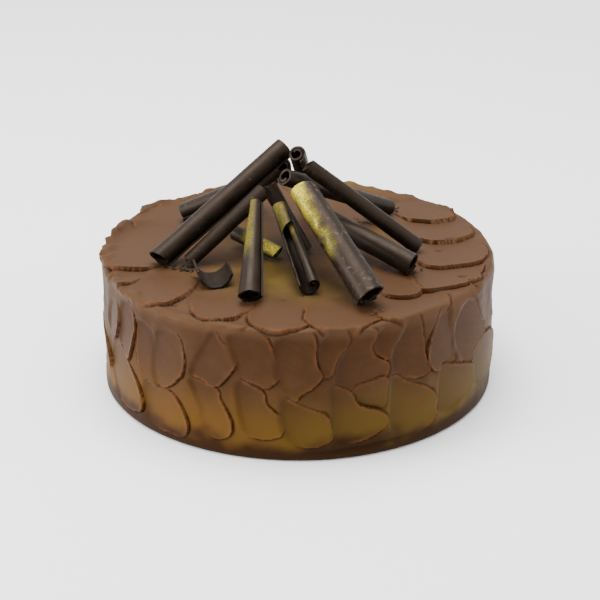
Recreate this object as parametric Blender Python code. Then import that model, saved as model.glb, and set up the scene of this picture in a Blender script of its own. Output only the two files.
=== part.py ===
"""Chocolate cake: a round cake under knife-worked frosting, with a pile of rolled chocolate curls.

Run in Blender 4.5. Metres, +Z up, origin at the centre of the cake's underside, -Y to the front.
"""
from collections import namedtuple
from math import cos, pi, radians, sin

import bmesh
import bpy
import numpy as np

MM = 0.001

# Driving sizes of the cake
RADIUS = 104.0 * MM
HEIGHT = 71.0 * MM
RIM_ROUND = 6.5 * MM
FOOT_ROUND = 2.5 * MM

# Knife strokes on the top: each lies over the one in front of it, like a roof tile
TOP_STEP = 2.8 * MM
TOP_SCOOP = 1.0 * MM
TOP_EDGE = 2.6 * MM
LIP_ARC = 0.22
SIDE_FALL = 0.8
START_FADE = 8.0 * MM
MIDDLE_REACH = 46.0 * MM

# Knife strokes on the side: one column of two strokes for each pull of the knife
FRONT_COLUMNS = (20.0, 19.0, 15.0, 12.0, 13.0, 17.0, 15.0, 18.0, 14.0)
FRONT_START = -70.0
BACK_COLUMNS = 13
BACK_SWING = 2.4
SPLIT_HEIGHT = 40.0 * MM
SPLIT_SWING = 3.5 * MM
LOWER_END = 9.0 * MM
LOWER_SWING = 1.5 * MM
UPPER_END = 67.0 * MM
SPLIT_OVERLAP = 3.0 * MM
EDGE_WIDEST = 0.96
UPPER_EDGE = (0.42, 0.62, 0.22)
LOWER_EDGE = (0.36, 0.30, 0.88)
STROKE_ENDS = 0.06
SIDE_DEPTH = 1.6 * MM
SIDE_LIP = 1.0 * MM
SIDE_EDGE = 2.4 * MM

# Mesh of the cake
CELLS = (0.0, 0.07, 0.42, 0.78, 0.93, 1.03)
CELL_LEAST = 0.55
CELL_SWITCH = 0.72
SHOULDER = HEIGHT - RIM_ROUND - 1.5 * MM
SIDE_RINGS = 16
RIM_RINGS = 3
DISC_RINGS = (96.5, 92.5, 88.5, 84.5, 80.5, 76.5, 72.0, 67.5)
MIDDLE_RINGS = (62.0, 56.0, 49.0, 42.0)
INNER_RINGS = (34.0, 23.0, 11.0)

# Fit between a curl and the frosting that it rests in
REST_GAP = 0.35 * MM
DENT_MARGIN = 1.4 * MM
SEAT_DEPTH = 1.5 * MM
REST_REACH = 9.0 * MM
MOUTH_MARGIN = 5.5 * MM
SCOOP_MIDDLE = (-42.5 * MM, -43.0 * MM)
SCOOP_REACH = (12.0 * MM, 15.0 * MM)
SCOOP_GAP = 0.9 * MM

# Chocolate sheet that the curls are rolled from
SHEET = 1.1 * MM
THIN_SHEET = 0.85 * MM
ROLL_GAP = 0.6 * MM
THIN_BELOW = 4.0 * MM
STEPS_PER_TURN = 13
LEAST_STEPS = 6
PATH_STEPS = 40
PLAIN_STATIONS = (0.0, 0.5, 1.0)
SPLIT_STATIONS = (0.0, 0.35, 0.64, 0.69, 0.72, 0.75, 0.80, 1.0)
SCOOP_STATIONS = (0.0, 0.35, 1.0)
TIGHTEST = 0.3

Stroke = namedtuple("Stroke", "x y heading half_width length")
Curl = namedtuple("Curl", "name foot foot_radius head head_radius turns free_edge slant")
Roll = namedtuple("Roll", "radius tube arc turn")

# Top strokes from the front ones to those that lie over them, millimetres and degrees.
# The place is the middle of the stroke's far lip, and heading 0 runs towards the front.
TOP_STROKES = (
    Stroke(-40, -84, -22, 17, 40),
    Stroke(-11, -97, -6, 15, 38),
    Stroke(22, -98, 6, 19, 40),
    Stroke(58, -84, 34, 17, 40),
    Stroke(66, -52, 22, 24, 44),
    Stroke(80, -22, 26, 18, 40),
    Stroke(80, 14, 34, 17, 38),
    Stroke(71, 43, 20, 18, 36),
    Stroke(-66, -66, -26, 13, 42),
    Stroke(-86, -23, -20, 22, 48),
    Stroke(-84, 32, -60, 20, 40),
    Stroke(-66, 66, -118, 20, 40),
    Stroke(-30, 88, -160, 20, 42),
    Stroke(10, 92, 172, 20, 42),
    Stroke(46, 78, 148, 20, 40),
    Stroke(82, 48, 118, 16, 30),
)

# Curls in the pile: axis ends in millimetres, wound radius at each end, turns of the sheet,
# direction of the sheet's free edge and the slant of the broken ends.
CURLS = (
    Curl("curl_left_large", (-70.3, -23.7, 76.5), 5.6, (-6.7, 23.5, 119.8), 5.4, 1.45, 235, 0.9),
    Curl("curl_left_slim", (-54.4, -22.3, 74.2), 3.7, (-18.1, -5.5, 104.7), 4.0, 1.3, 20, 1.2),
    Curl("curl_front_tapered", (-23.5, -69.2, 76.5), 5.9, (-21.2, -18.5, 105.4), 2.9, 1.2, 200, 0.5),
    Curl("curl_front_large", (35.3, -73.6, 78.6), 7.9, (3.4, -15.0, 110.1), 7.1, 1.4, 225, 1.0),
    Curl("curl_right_front", (58.0, -33.4, 77.3), 5.9, (13.2, 4.5, 87.9), 5.4, 1.4, 215, 0.8),
    Curl("curl_right_long", (62.4, -3.2, 74.8), 4.2, (5.5, -2.5, 119.1), 4.1, 1.4, 215, 0.7),
    Curl("curl_right_back", (48.8, 50.0, 75.5), 4.4, (-7.0, -6.5, 114.5), 4.4, 1.4, 210, 0.9),
    Curl("curl_centre_upright", (4.5, -7.0, 74.5), 3.7, (-15.1, 4.4, 105.3), 4.5, 1.3, 200, 0.6),
    Curl("curl_left_back", (-61.6, 39.9, 76.3), 5.2, (-32.3, 18.0, 97.4), 4.5, 1.4, 215, 0.9),
    Curl("curl_back_upright", (7.0, 58.0, 75.5), 4.4, (-0.9, 8.0, 121.0), 4.4, 1.6, 300, 0.6),
    Curl("curl_inner_left", (-10.5, -15.3, 75.1), 3.7, (-32.8, 6.0, 77.6), 3.6, 1.3, 320, 0.8),
    Curl("curl_back_left", (-28.0, 61.0, 75.6), 4.7, (-8.0, 25.5, 107.5), 4.2, 1.4, 320, 0.8),
)

# Curl whose tube is broken open on top: its direction is where the slim roll leaves the tube.
# Shares run from the foot, 0, to the head, 1, directions are in degrees and radii in millimetres.
SPLIT_CURL = Curl("curl_front_split", (6.0, -60.0, 75.9), 5.3, (-9.0, -9.0, 97.9), 4.3, 1.35, 10, 0.6)
SPLIT_BROKEN_TO = 0.64
SPLIT_BROKEN_SPAN = 0.16
SPLIT_WALL_EDGE = -185.0
SPLIT_CAP_EDGE = -318.0
SPLIT_TWIST = -45.0
SPLIT_SLIM_FOOT = 2.6
SPLIT_SLIM_HEAD = 1.6
SPLIT_LEAD_STEPS = 8

# Short open piece of a curl, hollow side up
SCOOP = Curl("curl_open_scoop", (-41.5, -50.0, 80.6), 9.0, (-44.7, -35.0, 81.0), 9.0, 0.44, 200, 3.0)

CHOCOLATE = ((0.021, 0.014, 0.011, 1.0), 0.38)
FROSTING = ((0.212, 0.130, 0.082, 1.0), 0.52)


def clear_scene():
    """Remove every object, so that the model starts from an empty scene."""
    for item in list(bpy.data.objects):
        bpy.data.objects.remove(item, do_unlink=True)


def material(name, colour, roughness):
    """A plain surface of one colour and roughness."""
    made = bpy.data.materials.new(name)
    made.use_nodes = True
    shader = made.node_tree.nodes["Principled BSDF"]
    shader.inputs["Base Color"].default_value = colour
    shader.inputs["Roughness"].default_value = roughness
    shader.inputs["Metallic"].default_value = 0.0
    return made


def smooth(value):
    """Zero below 0, one above 1, and an even S between."""
    held = np.clip(value, 0.0, 1.0)
    return held * held * (3.0 - 2.0 * held)


# Frosting on the top


def stroke_cover(stroke, x, y):
    """Cover, run and cross place of points (x, y) under one top stroke.

    The stroke is a tongue: its sides are straight and its far lip is an arc across the heading.
    """
    turn = radians(stroke.heading)
    run_x = sin(turn)
    run_y = -cos(turn)
    along = (x - stroke.x * MM) * run_x + (y - stroke.y * MM) * run_y
    across = (x - stroke.x * MM) * run_y - (y - stroke.y * MM) * run_x
    half = stroke.half_width * MM
    cross = across / half
    lip = -LIP_ARC * half * cross**2 - along
    side = half - np.abs(across)
    inside = np.minimum(lip, side * SIDE_FALL)
    cover = smooth(inside / TOP_EDGE + 0.5)
    run = np.clip(1.0 - lip / (stroke.length * MM), 0.0, 1.0)
    started = smooth((stroke.length * MM - lip) / START_FADE)
    return cover * started, run, np.clip(cross, -1.0, 1.0)


def curl_axis(curl):
    """Foot, length and unit direction of a curl's axis, in metres."""
    foot = np.array(curl.foot) * MM
    head = np.array(curl.head) * MM
    length = float(np.linalg.norm(head - foot))
    direction = (head - foot) / length
    return foot, length, direction


def curl_rest(curl):
    """Plan place and height where the lowest point of a curl's foot meets the frosting."""
    foot, _, direction = curl_axis(curl)
    level = float(np.hypot(direction[0], direction[1]))
    radius = curl.foot_radius * MM
    rise = direction[2] * radius / level
    return foot[0] + direction[0] * rise, foot[1] + direction[1] * rise, foot[2] - level * radius


def underside(curl, x, y):
    """Height of a curl's underside over (x, y), and far above where the curl isn't.

    A tilted round bar's underside is its axis height less sqrt(r^2 - e^2) / cos(tilt), where e is
    the plan distance from the axis. Just before the foot it levels off in a shallow seat.
    """
    foot, length, direction = curl_axis(curl)
    level = float(np.hypot(direction[0], direction[1]))
    plan = direction[:2] / level
    along = (x - foot[0]) * plan[0] + (y - foot[1]) * plan[1]
    across = (x - foot[0]) * plan[1] - (y - foot[1]) * plan[0]
    radius = curl.foot_radius * MM + DENT_MARGIN
    half_chord = np.sqrt(np.clip(radius**2 - across**2, 0.0, None))
    height = foot[2] + along * direction[2] / level - half_chord / level
    height = np.maximum(height, curl_rest(curl)[2] - SEAT_DEPTH)
    under = (np.abs(across) < radius) & (along > direction[2] * half_chord - MOUTH_MARGIN)
    under &= along < length * level
    return np.where(under, height, HEIGHT * 2.0)


def top_height(x, y):
    """Height of the frosting at plan points: tiled strokes, level under each curl's foot."""
    level = HEIGHT - 0.45 * TOP_STEP
    height = np.full_like(x, level)
    for stroke in TOP_STROKES:
        cover, run, cross = stroke_cover(stroke, x, y)
        tile = level + TOP_STEP * run**2 + TOP_SCOOP * (cross**2 - 0.6)
        height += cover * (tile - height)
    middle = np.exp(-(np.hypot(x, y) / MIDDLE_REACH) ** 4)
    height += middle * (HEIGHT - REST_GAP - height)
    for curl in CURLS + (SPLIT_CURL,):
        rest_x, rest_y, rest_z = curl_rest(curl)
        near = np.exp(-(np.hypot(x - rest_x, y - rest_y) / REST_REACH) ** 2)
        height += near * (rest_z - REST_GAP - height)
    for curl in CURLS + (SPLIT_CURL,):
        height = np.minimum(height, underside(curl, x, y))
    middle_x, middle_y = SCOOP_MIDDLE
    reach_x, reach_y = SCOOP_REACH
    under_scoop = np.exp(-np.hypot((x - middle_x) / reach_x, (y - middle_y) / reach_y) ** 6)
    floor = (SCOOP.foot[2] - SCOOP.foot_radius) * MM - SCOOP_GAP
    return height + under_scoop * (floor - height)


# Frosting on the side


def column_edges():
    """Angles in degrees, from the front, where each knife column of the side begins."""
    widths = list(FRONT_COLUMNS)
    left = 360.0 - sum(widths)
    raw = [left / BACK_COLUMNS + BACK_SWING * sin(2.4 * i + 0.7) for i in range(BACK_COLUMNS)]
    scale = left / sum(raw)
    widths += [width * scale for width in raw]
    return FRONT_START + np.concatenate(([0.0], np.cumsum(widths)))


def edge_share(t, peak, low_cut, high_cut):
    """Where a side stroke's curved right edge stands across its column, at heights t from 0 to 1.

    It is widest at the peak and falls back by a square law, by low_cut at the foot of the stroke
    and by high_cut at its top.
    """
    below = np.clip((peak - t) / peak, 0.0, 1.0)
    above = np.clip((t - peak) / (1.0 - peak), 0.0, 1.0)
    return EDGE_WIDEST * (1.0 - low_cut * below**2 - high_cut * above**2)


def stroke_heights(index, z):
    """Heights of z within the upper and the lower stroke of a column, each from 0 to 1."""
    split = SPLIT_HEIGHT + SPLIT_SWING * sin(1.9 * index)
    low = LOWER_END + LOWER_SWING * sin(2.3 * index)
    return (z - split) / (UPPER_END - split), (z - low) / (split + SPLIT_OVERLAP - low)


def stroke_edges(index, z):
    """Right edges of the upper and the lower stroke of a column at heights z."""
    upper, lower = stroke_heights(index, z)
    return edge_share(upper, *UPPER_EDGE), edge_share(lower, *LOWER_EDGE)


def petal(u, right, t, width):
    """Cover and radial relief of one knife stroke on the side.

    The frosting slopes from a deep left edge up to a lip along the curved right edge.
    """
    inside = smooth((right - u) * width / SIDE_EDGE + 0.5) * smooth(u * width / SIDE_EDGE + 0.3)
    ends = smooth(t / STROKE_ENDS + 0.5) * smooth((1.0 - t) / STROKE_ENDS + 0.5)
    slope = -SIDE_DEPTH + (SIDE_DEPTH + SIDE_LIP) * np.clip(u / np.maximum(right, 0.05), 0.0, 1.0) ** 1.5
    return inside * ends, slope


def side_relief(angle, z):
    """Radial relief of the side at angles in degrees from the front and heights z."""
    edges = column_edges()
    relief = np.zeros_like(z)
    turned = (angle - edges[0]) % 360.0 + edges[0]
    for index in range(len(edges) - 1):
        span = edges[index + 1] - edges[index]
        u = (turned - edges[index]) / span
        here = (u >= 0.0) & (u < 1.0)
        width = radians(span) * RADIUS
        upper_t, lower_t = stroke_heights(index, z)
        upper_right, lower_right = stroke_edges(index, z)
        column = np.zeros_like(z)
        for right, t in ((upper_right, upper_t), (lower_right, lower_t)):
            cover, slope = petal(u, right, t, width)
            column += cover * (slope - column)
        relief = np.where(here, column, relief)
    return relief


# The cake's mesh


def ring_angles(z):
    """Angles of a ring's points in degrees from the front, where points follow each curved lip."""
    edges = column_edges()
    angles = []
    for index, (start, end) in enumerate(zip(edges, edges[1:])):
        lower_t = stroke_heights(index, z)[1]
        upper, lower = stroke_edges(index, z)
        right = lower if lower_t < CELL_SWITCH else upper
        angles += [start + cell * (end - start) * max(float(right), CELL_LEAST) for cell in CELLS]
    return np.array(angles)


def ring_points(angles, radius, z):
    """Points at angles in degrees clockwise from the front."""
    turn = np.radians(angles)
    return np.column_stack((radius * np.sin(turn), -radius * np.cos(turn), np.broadcast_to(z, turn.shape)))


def side_rings():
    """Rings from the underside up over the rounded rim, each an array of points."""
    heights = np.linspace(FOOT_ROUND, SHOULDER, SIDE_RINGS)
    rings = [ring_points(ring_angles(heights[0]), RADIUS - FOOT_ROUND, 0.0)]
    for z in heights:
        angles = ring_angles(z)
        relief = side_relief(angles, np.full_like(angles, z))
        rings.append(ring_points(angles, RADIUS + relief, z))
    for step in range(1, RIM_RINGS + 1):
        turn = 0.5 * pi * step / (RIM_RINGS + 1)
        radius = RADIUS - RIM_ROUND * (1.0 - cos(turn))
        flat = ring_points(angles, radius, 0.0)
        top = top_height(flat[:, 0], flat[:, 1])
        share = step / (RIM_RINGS + 1)
        relief = side_relief(angles, np.full_like(angles, heights[-1])) * (1.0 - share)
        round_z = HEIGHT - RIM_ROUND * (1.0 - sin(turn))
        z = round_z + (top - HEIGHT) * share
        ring = ring_points(angles, radius + relief, 0.0)
        ring[:, 2] = z
        rings.append(ring)
    return rings


def disc_ring(angles, radius):
    """One ring of points on the top."""
    ring = ring_points(angles, radius * MM, 0.0)
    ring[:, 2] = top_height(ring[:, 0], ring[:, 1])
    return ring


def bridge(mesh, lower, upper):
    """Faces between two rings of vertices, where the inner ring may have half as many."""
    count = len(lower)
    if len(upper) == count:
        for i in range(count):
            j = (i + 1) % count
            mesh.faces.new((lower[i], lower[j], upper[j], upper[i]))
        return
    for i in range(len(upper)):
        j = (i + 1) % len(upper)
        a, b, c = lower[2 * i], lower[(2 * i + 1) % count], lower[(2 * i + 2) % count]
        mesh.faces.new((a, b, upper[i]))
        mesh.faces.new((b, c, upper[j]))
        mesh.faces.new((b, upper[j], upper[i]))


def build_cake(finish):
    """The cake and its frosting as one solid."""
    angles = ring_angles(SHOULDER)
    rings = side_rings()
    rings += [disc_ring(angles, radius) for radius in DISC_RINGS]
    rings += [disc_ring(angles[::2], radius) for radius in MIDDLE_RINGS]
    rings += [disc_ring(angles[::4], radius) for radius in INNER_RINGS]
    mesh = bmesh.new()
    loops = [[mesh.verts.new(point) for point in ring] for ring in rings]
    for lower, upper in zip(loops, loops[1:]):
        bridge(mesh, lower, upper)
    tip = mesh.verts.new((0.0, 0.0, float(top_height(np.zeros(1), np.zeros(1))[0])))
    inner = loops[-1]
    for i in range(len(inner)):
        mesh.faces.new((inner[i], inner[(i + 1) % len(inner)], tip))
    base = mesh.verts.new((0.0, 0.0, 0.0))
    outer = loops[0]
    for i in range(len(outer)):
        mesh.faces.new((outer[(i + 1) % len(outer)], outer[i], base))
    return finish_object(mesh, "cake", finish, 40.0)


# Curls


def wound_section(roll, sheet, turns):
    """Outer and inner outline of a rolled sheet in its own plane, with the tube's centre at 0.

    The first turn has the roll's radius on average and the sheet tightens evenly, by one sheet
    and gap per turn, so that its direction is the sum of length over bend radius. A lead, where
    there is one, is an arc of the tube's own radius that comes before the roll.
    """
    pitch = sheet + ROLL_GAP
    start = roll.radius + 0.5 * pitch
    wound = 2.0 * pi * turns * (start - 0.5 * pitch * turns)
    count = max(LEAST_STEPS, int(round(turns * STEPS_PER_TURN)))
    steps = np.linspace(0.0, wound, count * PATH_STEPS + 1)
    if roll.arc > 0.0:
        lead = np.linspace(-roll.arc * roll.tube, 0.0, SPLIT_LEAD_STEPS * PATH_STEPS + 1)
        steps = np.concatenate((lead[:-1], steps))
    rolled = np.clip(steps, 0.0, None)
    bend = np.sqrt(np.clip(start**2 - pitch * rolled / pi, (TIGHTEST * roll.radius) ** 2, None))
    bend = np.where(steps < 0.0, roll.tube, bend)
    turned = np.concatenate(([0.0], np.cumsum(np.diff(steps) / bend[1:])))
    turned -= np.interp(0.0, steps, turned)
    middle = 0.5 * (turned[1:] + turned[:-1])
    x = np.concatenate(([0.0], np.cumsum(np.diff(steps) * -np.sin(middle))))
    y = np.concatenate(([0.0], np.cumsum(np.diff(steps) * np.cos(middle))))
    x += (roll.tube if roll.arc > 0.0 else start) - np.interp(0.0, steps, x)
    y -= np.interp(0.0, steps, y)
    outer = np.column_stack((x, y))[::PATH_STEPS]
    inward = np.column_stack((-np.cos(turned), -np.sin(turned)))[::PATH_STEPS]
    return outer, outer + inward * sheet


def curl_frame(direction):
    """Two unit vectors square to a curl's axis: one level, one leaning upwards."""
    level = np.cross((0.0, 0.0, 1.0), direction)
    level /= np.linalg.norm(level)
    return level, np.cross(direction, level)


def broken_end(curl, share, spin):
    """How far a curl's broken end runs out along the axis, at shares of the sheet's width."""
    wave = np.cos(2.0 * pi * spin * curl.turns + 1.0) * curl.slant * MM
    return wave * (1.0 - 2.0 * share)


def tongue_end(curl, share, spin):
    """A rounded tongue at the foot and a straight edge at the head."""
    return -curl.slant * MM * (1.0 - (2.0 * spin - 1.0) ** 2) * (1.0 - share)


def build_curl(curl, finish, stations, roll_at, end_at=broken_end, winding=1.0):
    """One rolled sheet of chocolate as a closed solid.

    roll_at gives the roll at each station, 0 for the foot and 1 for the head, end_at the outline
    of the two ends, and winding is -1 where the sheet is rolled up the other way.
    """
    foot, length, direction = curl_axis(curl)
    level, upward = curl_frame(direction)
    level = level * winding
    sheet = SHEET if roll_at(0.0).radius > THIN_BELOW else THIN_SHEET
    mesh = bmesh.new()
    rings = []
    for share in stations:
        roll = roll_at(share)
        outer, inner = wound_section(roll, sheet, curl.turns)
        outline = np.vstack((outer, inner[::-1]))
        across = outline[:, 0] * cos(roll.turn) - outline[:, 1] * sin(roll.turn)
        over = outline[:, 0] * sin(roll.turn) + outline[:, 1] * cos(roll.turn)
        spin = np.linspace(0.0, 1.0, len(outer))
        spin = np.concatenate((spin, spin[::-1]))
        slide = share * length + end_at(curl, share, spin) * (share in (0.0, 1.0))
        points = foot + slide[:, None] * direction + across[:, None] * level + over[:, None] * upward
        rings.append([mesh.verts.new(point) for point in points])
    count = len(rings[0])
    half = count // 2
    for low, high in zip(rings, rings[1:]):
        for i in range(count):
            j = (i + 1) % count
            mesh.faces.new((low[i], low[j], high[j], high[i]))
    for i in range(half - 1):
        near = rings[0]
        far = rings[-1]
        mesh.faces.new((near[i + 1], near[i], near[count - 1 - i], near[count - 2 - i]))
        mesh.faces.new((far[i], far[i + 1], far[count - 2 - i], far[count - 1 - i]))
    return finish_object(mesh, curl.name, finish, 50.0)


def tube_radius(curl, share):
    """Radius of a tapering curl from its foot, 0, to its head, 1."""
    return (curl.foot_radius + share * (curl.head_radius - curl.foot_radius)) * MM


def build_plain_curl(curl, finish, stations=PLAIN_STATIONS, end_at=broken_end):
    """A curl that is rolled alike along its whole length, tapering from foot to head."""
    turn = radians(curl.free_edge)
    def roll_at(share):
        radius = tube_radius(curl, share)
        return Roll(radius, radius, 0.0, turn)
    return build_curl(curl, finish, stations, roll_at, end_at)


def build_split_curl(finish):
    """A curl whose tube is broken away on top towards the foot, with a slim roll along its side.

    The sheet's free edge stands at the cap's edge over the head, and at the low wall's edge below.
    """
    def roll_at(share):
        capped = float(smooth(np.array((share - SPLIT_BROKEN_TO) / SPLIT_BROKEN_SPAN)))
        join = SPLIT_CURL.free_edge + share * SPLIT_TWIST
        free = SPLIT_WALL_EDGE + capped * (SPLIT_CAP_EDGE - SPLIT_WALL_EDGE)
        slim = (SPLIT_SLIM_FOOT + share * (SPLIT_SLIM_HEAD - SPLIT_SLIM_FOOT)) * MM
        return Roll(slim, tube_radius(SPLIT_CURL, share), radians(join - free), radians(join))
    return build_curl(SPLIT_CURL, finish, SPLIT_STATIONS, roll_at, winding=-1.0)


def build_scoop(finish):
    """A short open curl like a tongue, hollow side up."""
    return build_plain_curl(SCOOP, finish, SCOOP_STATIONS, tongue_end)


def finish_object(mesh, name, finish, sharp_angle):
    """Turn a bmesh into a named object with its material and smooth shading."""
    bmesh.ops.recalc_face_normals(mesh, faces=mesh.faces)
    data = bpy.data.meshes.new(name)
    mesh.to_mesh(data)
    mesh.free()
    data.shade_smooth()
    data.set_sharp_from_angle(angle=radians(sharp_angle))
    data.materials.append(finish)
    made = bpy.data.objects.new(name, data)
    bpy.context.collection.objects.link(made)
    return made


def main():
    """Build the cake and every curl."""
    clear_scene()
    frosting = material("frosting", *FROSTING)
    chocolate = material("dark_chocolate", *CHOCOLATE)
    build_cake(frosting)
    for curl in CURLS:
        build_plain_curl(curl, chocolate)
    build_split_curl(chocolate)
    build_scoop(chocolate)


main()
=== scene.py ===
"""Dressed model of a chocolate cake: knife-worked frosting under a pile of rolled chocolate curls.

Every piece stands where the loaded frame has its solid, in metres with +Z up and -Y to the front.
"""

import logging
import math
from dataclasses import dataclass
from enum import Enum
from typing import Callable, Optional

import bpy
import numpy as np
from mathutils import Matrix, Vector


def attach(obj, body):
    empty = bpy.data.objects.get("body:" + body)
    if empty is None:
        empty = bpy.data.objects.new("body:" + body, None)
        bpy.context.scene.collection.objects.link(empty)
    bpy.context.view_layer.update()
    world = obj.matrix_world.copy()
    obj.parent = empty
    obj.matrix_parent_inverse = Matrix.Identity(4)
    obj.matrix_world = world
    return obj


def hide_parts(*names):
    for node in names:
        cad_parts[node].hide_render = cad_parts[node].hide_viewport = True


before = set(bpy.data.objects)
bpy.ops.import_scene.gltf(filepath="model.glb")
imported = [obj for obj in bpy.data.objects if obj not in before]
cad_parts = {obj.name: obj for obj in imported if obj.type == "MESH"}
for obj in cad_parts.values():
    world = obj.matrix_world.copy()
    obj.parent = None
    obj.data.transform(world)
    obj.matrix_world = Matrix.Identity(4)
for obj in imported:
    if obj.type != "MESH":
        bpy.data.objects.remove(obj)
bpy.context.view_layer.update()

LOG = logging.getLogger("chocolate_cake")
Array = np.ndarray
Piece = bpy.types.Object
Material = bpy.types.Material
Node = bpy.types.Node
Socket = bpy.types.NodeSocket
Tree = bpy.types.NodeTree
Triple = tuple[float, float, float]
Colour = tuple[float, float, float, float]
MM = 0.001
TO_MM = 1000.0


class Slot(Enum):
    """Material slots that the record names."""

    FROSTING = "frosting"
    CHOCOLATE = "dark_chocolate"


class RollEnd(Enum):
    """How the foot of a rolled sheet ends."""

    BROKEN = "broken"
    TONGUE = "tongue"


# Shaping helpers


def smooth(value: Array) -> Array:
    """Even S-curve: 0 below 0, 1 above 1, and 3v^2 - 2v^3 between."""
    held = np.clip(value, 0.0, 1.0)
    return held * held * (3.0 - 2.0 * held)


def above(value: Array, start: float, width: float) -> Array:
    """S-curve from 0 at the start to 1 at a width above it."""
    return smooth((value - start) / width)


def below(value: Array, start: float, width: float) -> Array:
    """S-curve from 0 at the start to 1 at a width below it."""
    return smooth((start - value) / width)


def bell(distance: Array, width: float) -> Array:
    """Bell curve exp(-(d / width)^2)."""
    return np.exp(-((distance / width) ** 2))


def turned(points: Array, angle: float) -> tuple[Array, Array]:
    """First two numbers of every point, after a turn by an angle in radians."""
    cos, sin = math.cos(angle), math.sin(angle)
    return points[:, 0] * cos - points[:, 1] * sin, points[:, 0] * sin + points[:, 1] * cos


class Noise:
    """Smooth seeded noise: random values on a cubic lattice, blended by S-curves along each axis."""

    def __init__(self, seed: int, cells: int = 32) -> None:
        """Draw the lattice.

        Args:
            seed: Seed of the random draw.
            cells: Cells along each side before the lattice repeats.
        """
        self.cells = cells
        self.table = np.random.default_rng(seed).uniform(-1.0, 1.0, (cells, cells, cells))

    def __call__(self, points: Array, size: float) -> Array:
        """Sample the noise.

        Args:
            points: Places, one row of three for each.
            size: Size of a lattice cell, in the points' unit.

        Returns:
            One value from -1 to 1 for each point.
        """
        place = points / size
        corner = np.floor(place).astype(int)
        blend = smooth(place - corner)
        total = np.zeros(len(points))
        for dx in (0, 1):
            for dy in (0, 1):
                for dz in (0, 1):
                    index = (corner + (dx, dy, dz)) % self.cells
                    weight = np.ones(len(points))
                    for axis, step in enumerate((dx, dy, dz)):
                        weight = weight * (blend[:, axis] if step else 1.0 - blend[:, axis])
                    total += weight * self.table[index[:, 0], index[:, 1], index[:, 2]]
        return total

    def layered(self, points: Array, *layers: Triple, base: float | Array = 0.0) -> Array:
        """Add up several layers of the noise.

        Args:
            points: Places, one row of three for each.
            layers: Strength, cell size and offset of each layer.
            base: Value to add them to.

        Returns:
            One value for each point.
        """
        return sum((strength * self(points + offset, size) for strength, size, offset in layers), base)


def grid_faces(rows: int, columns: int, around: bool) -> Array:
    """Quads of a grid of vertices that is stored row by row.

    Args:
        rows: Rows of vertices.
        columns: Vertices in each row.
        around: Whether each row closes on itself.

    Returns:
        One row of four vertex numbers for each quad.
    """
    last = columns if around else columns - 1
    i, j = np.meshgrid(np.arange(rows - 1), np.arange(last), indexing="ij")
    k = (j + 1) % columns
    quads = np.stack((i * columns + j, i * columns + k, (i + 1) * columns + k, (i + 1) * columns + j), -1)
    return quads.reshape(-1, 4)


def add_object(name: str, points: Array, quads: Array, triangles: Optional[Array] = None) -> Piece:
    """Make a smooth-shaded object at the origin from arrays of points and faces.

    Args:
        name: Name of the object.
        points: Vertex places in metres.
        quads: Four vertex numbers for each quad.
        triangles: Three vertex numbers for each triangle, if there are any.

    Returns:
        The new object.
    """
    loops = quads.ravel()
    starts = np.arange(len(quads)) * 4
    if triangles is not None and len(triangles):
        starts = np.concatenate((starts, len(loops) + np.arange(len(triangles)) * 3))
        loops = np.concatenate((loops, triangles.ravel()))
    mesh = bpy.data.meshes.new(name)
    mesh.vertices.add(len(points))
    mesh.vertices.foreach_set("co", points.astype(np.float32).ravel())
    mesh.loops.add(len(loops))
    mesh.loops.foreach_set("vertex_index", loops.astype(np.int32))
    mesh.polygons.add(len(starts))
    mesh.polygons.foreach_set("loop_start", starts.astype(np.int32))
    mesh.update(calc_edges=True)
    mesh.validate()
    mesh.shade_smooth()
    made = bpy.data.objects.new(name, mesh)
    bpy.context.scene.collection.objects.link(made)
    return made


def add_layer(piece: Piece, name: str, values: Array) -> None:
    """Store a number or a vector for each vertex, which the piece's material reads by name.

    Args:
        piece: Object to store it on.
        name: Name of the layer.
        values: One number or one row of three for each vertex.
    """
    kind, key = ("FLOAT_VECTOR", "vector") if values.ndim == 2 else ("FLOAT", "value")
    layer = piece.data.attributes.new(name, kind, "POINT")
    layer.data.foreach_set(key, values.astype(np.float32).ravel())


def mark_sharp(piece: Piece, angle: float) -> None:
    """Keep edges steeper than an angle in degrees sharp on a smooth-shaded piece."""
    piece.data.set_sharp_from_angle(angle=math.radians(angle))


# Material helpers


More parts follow.
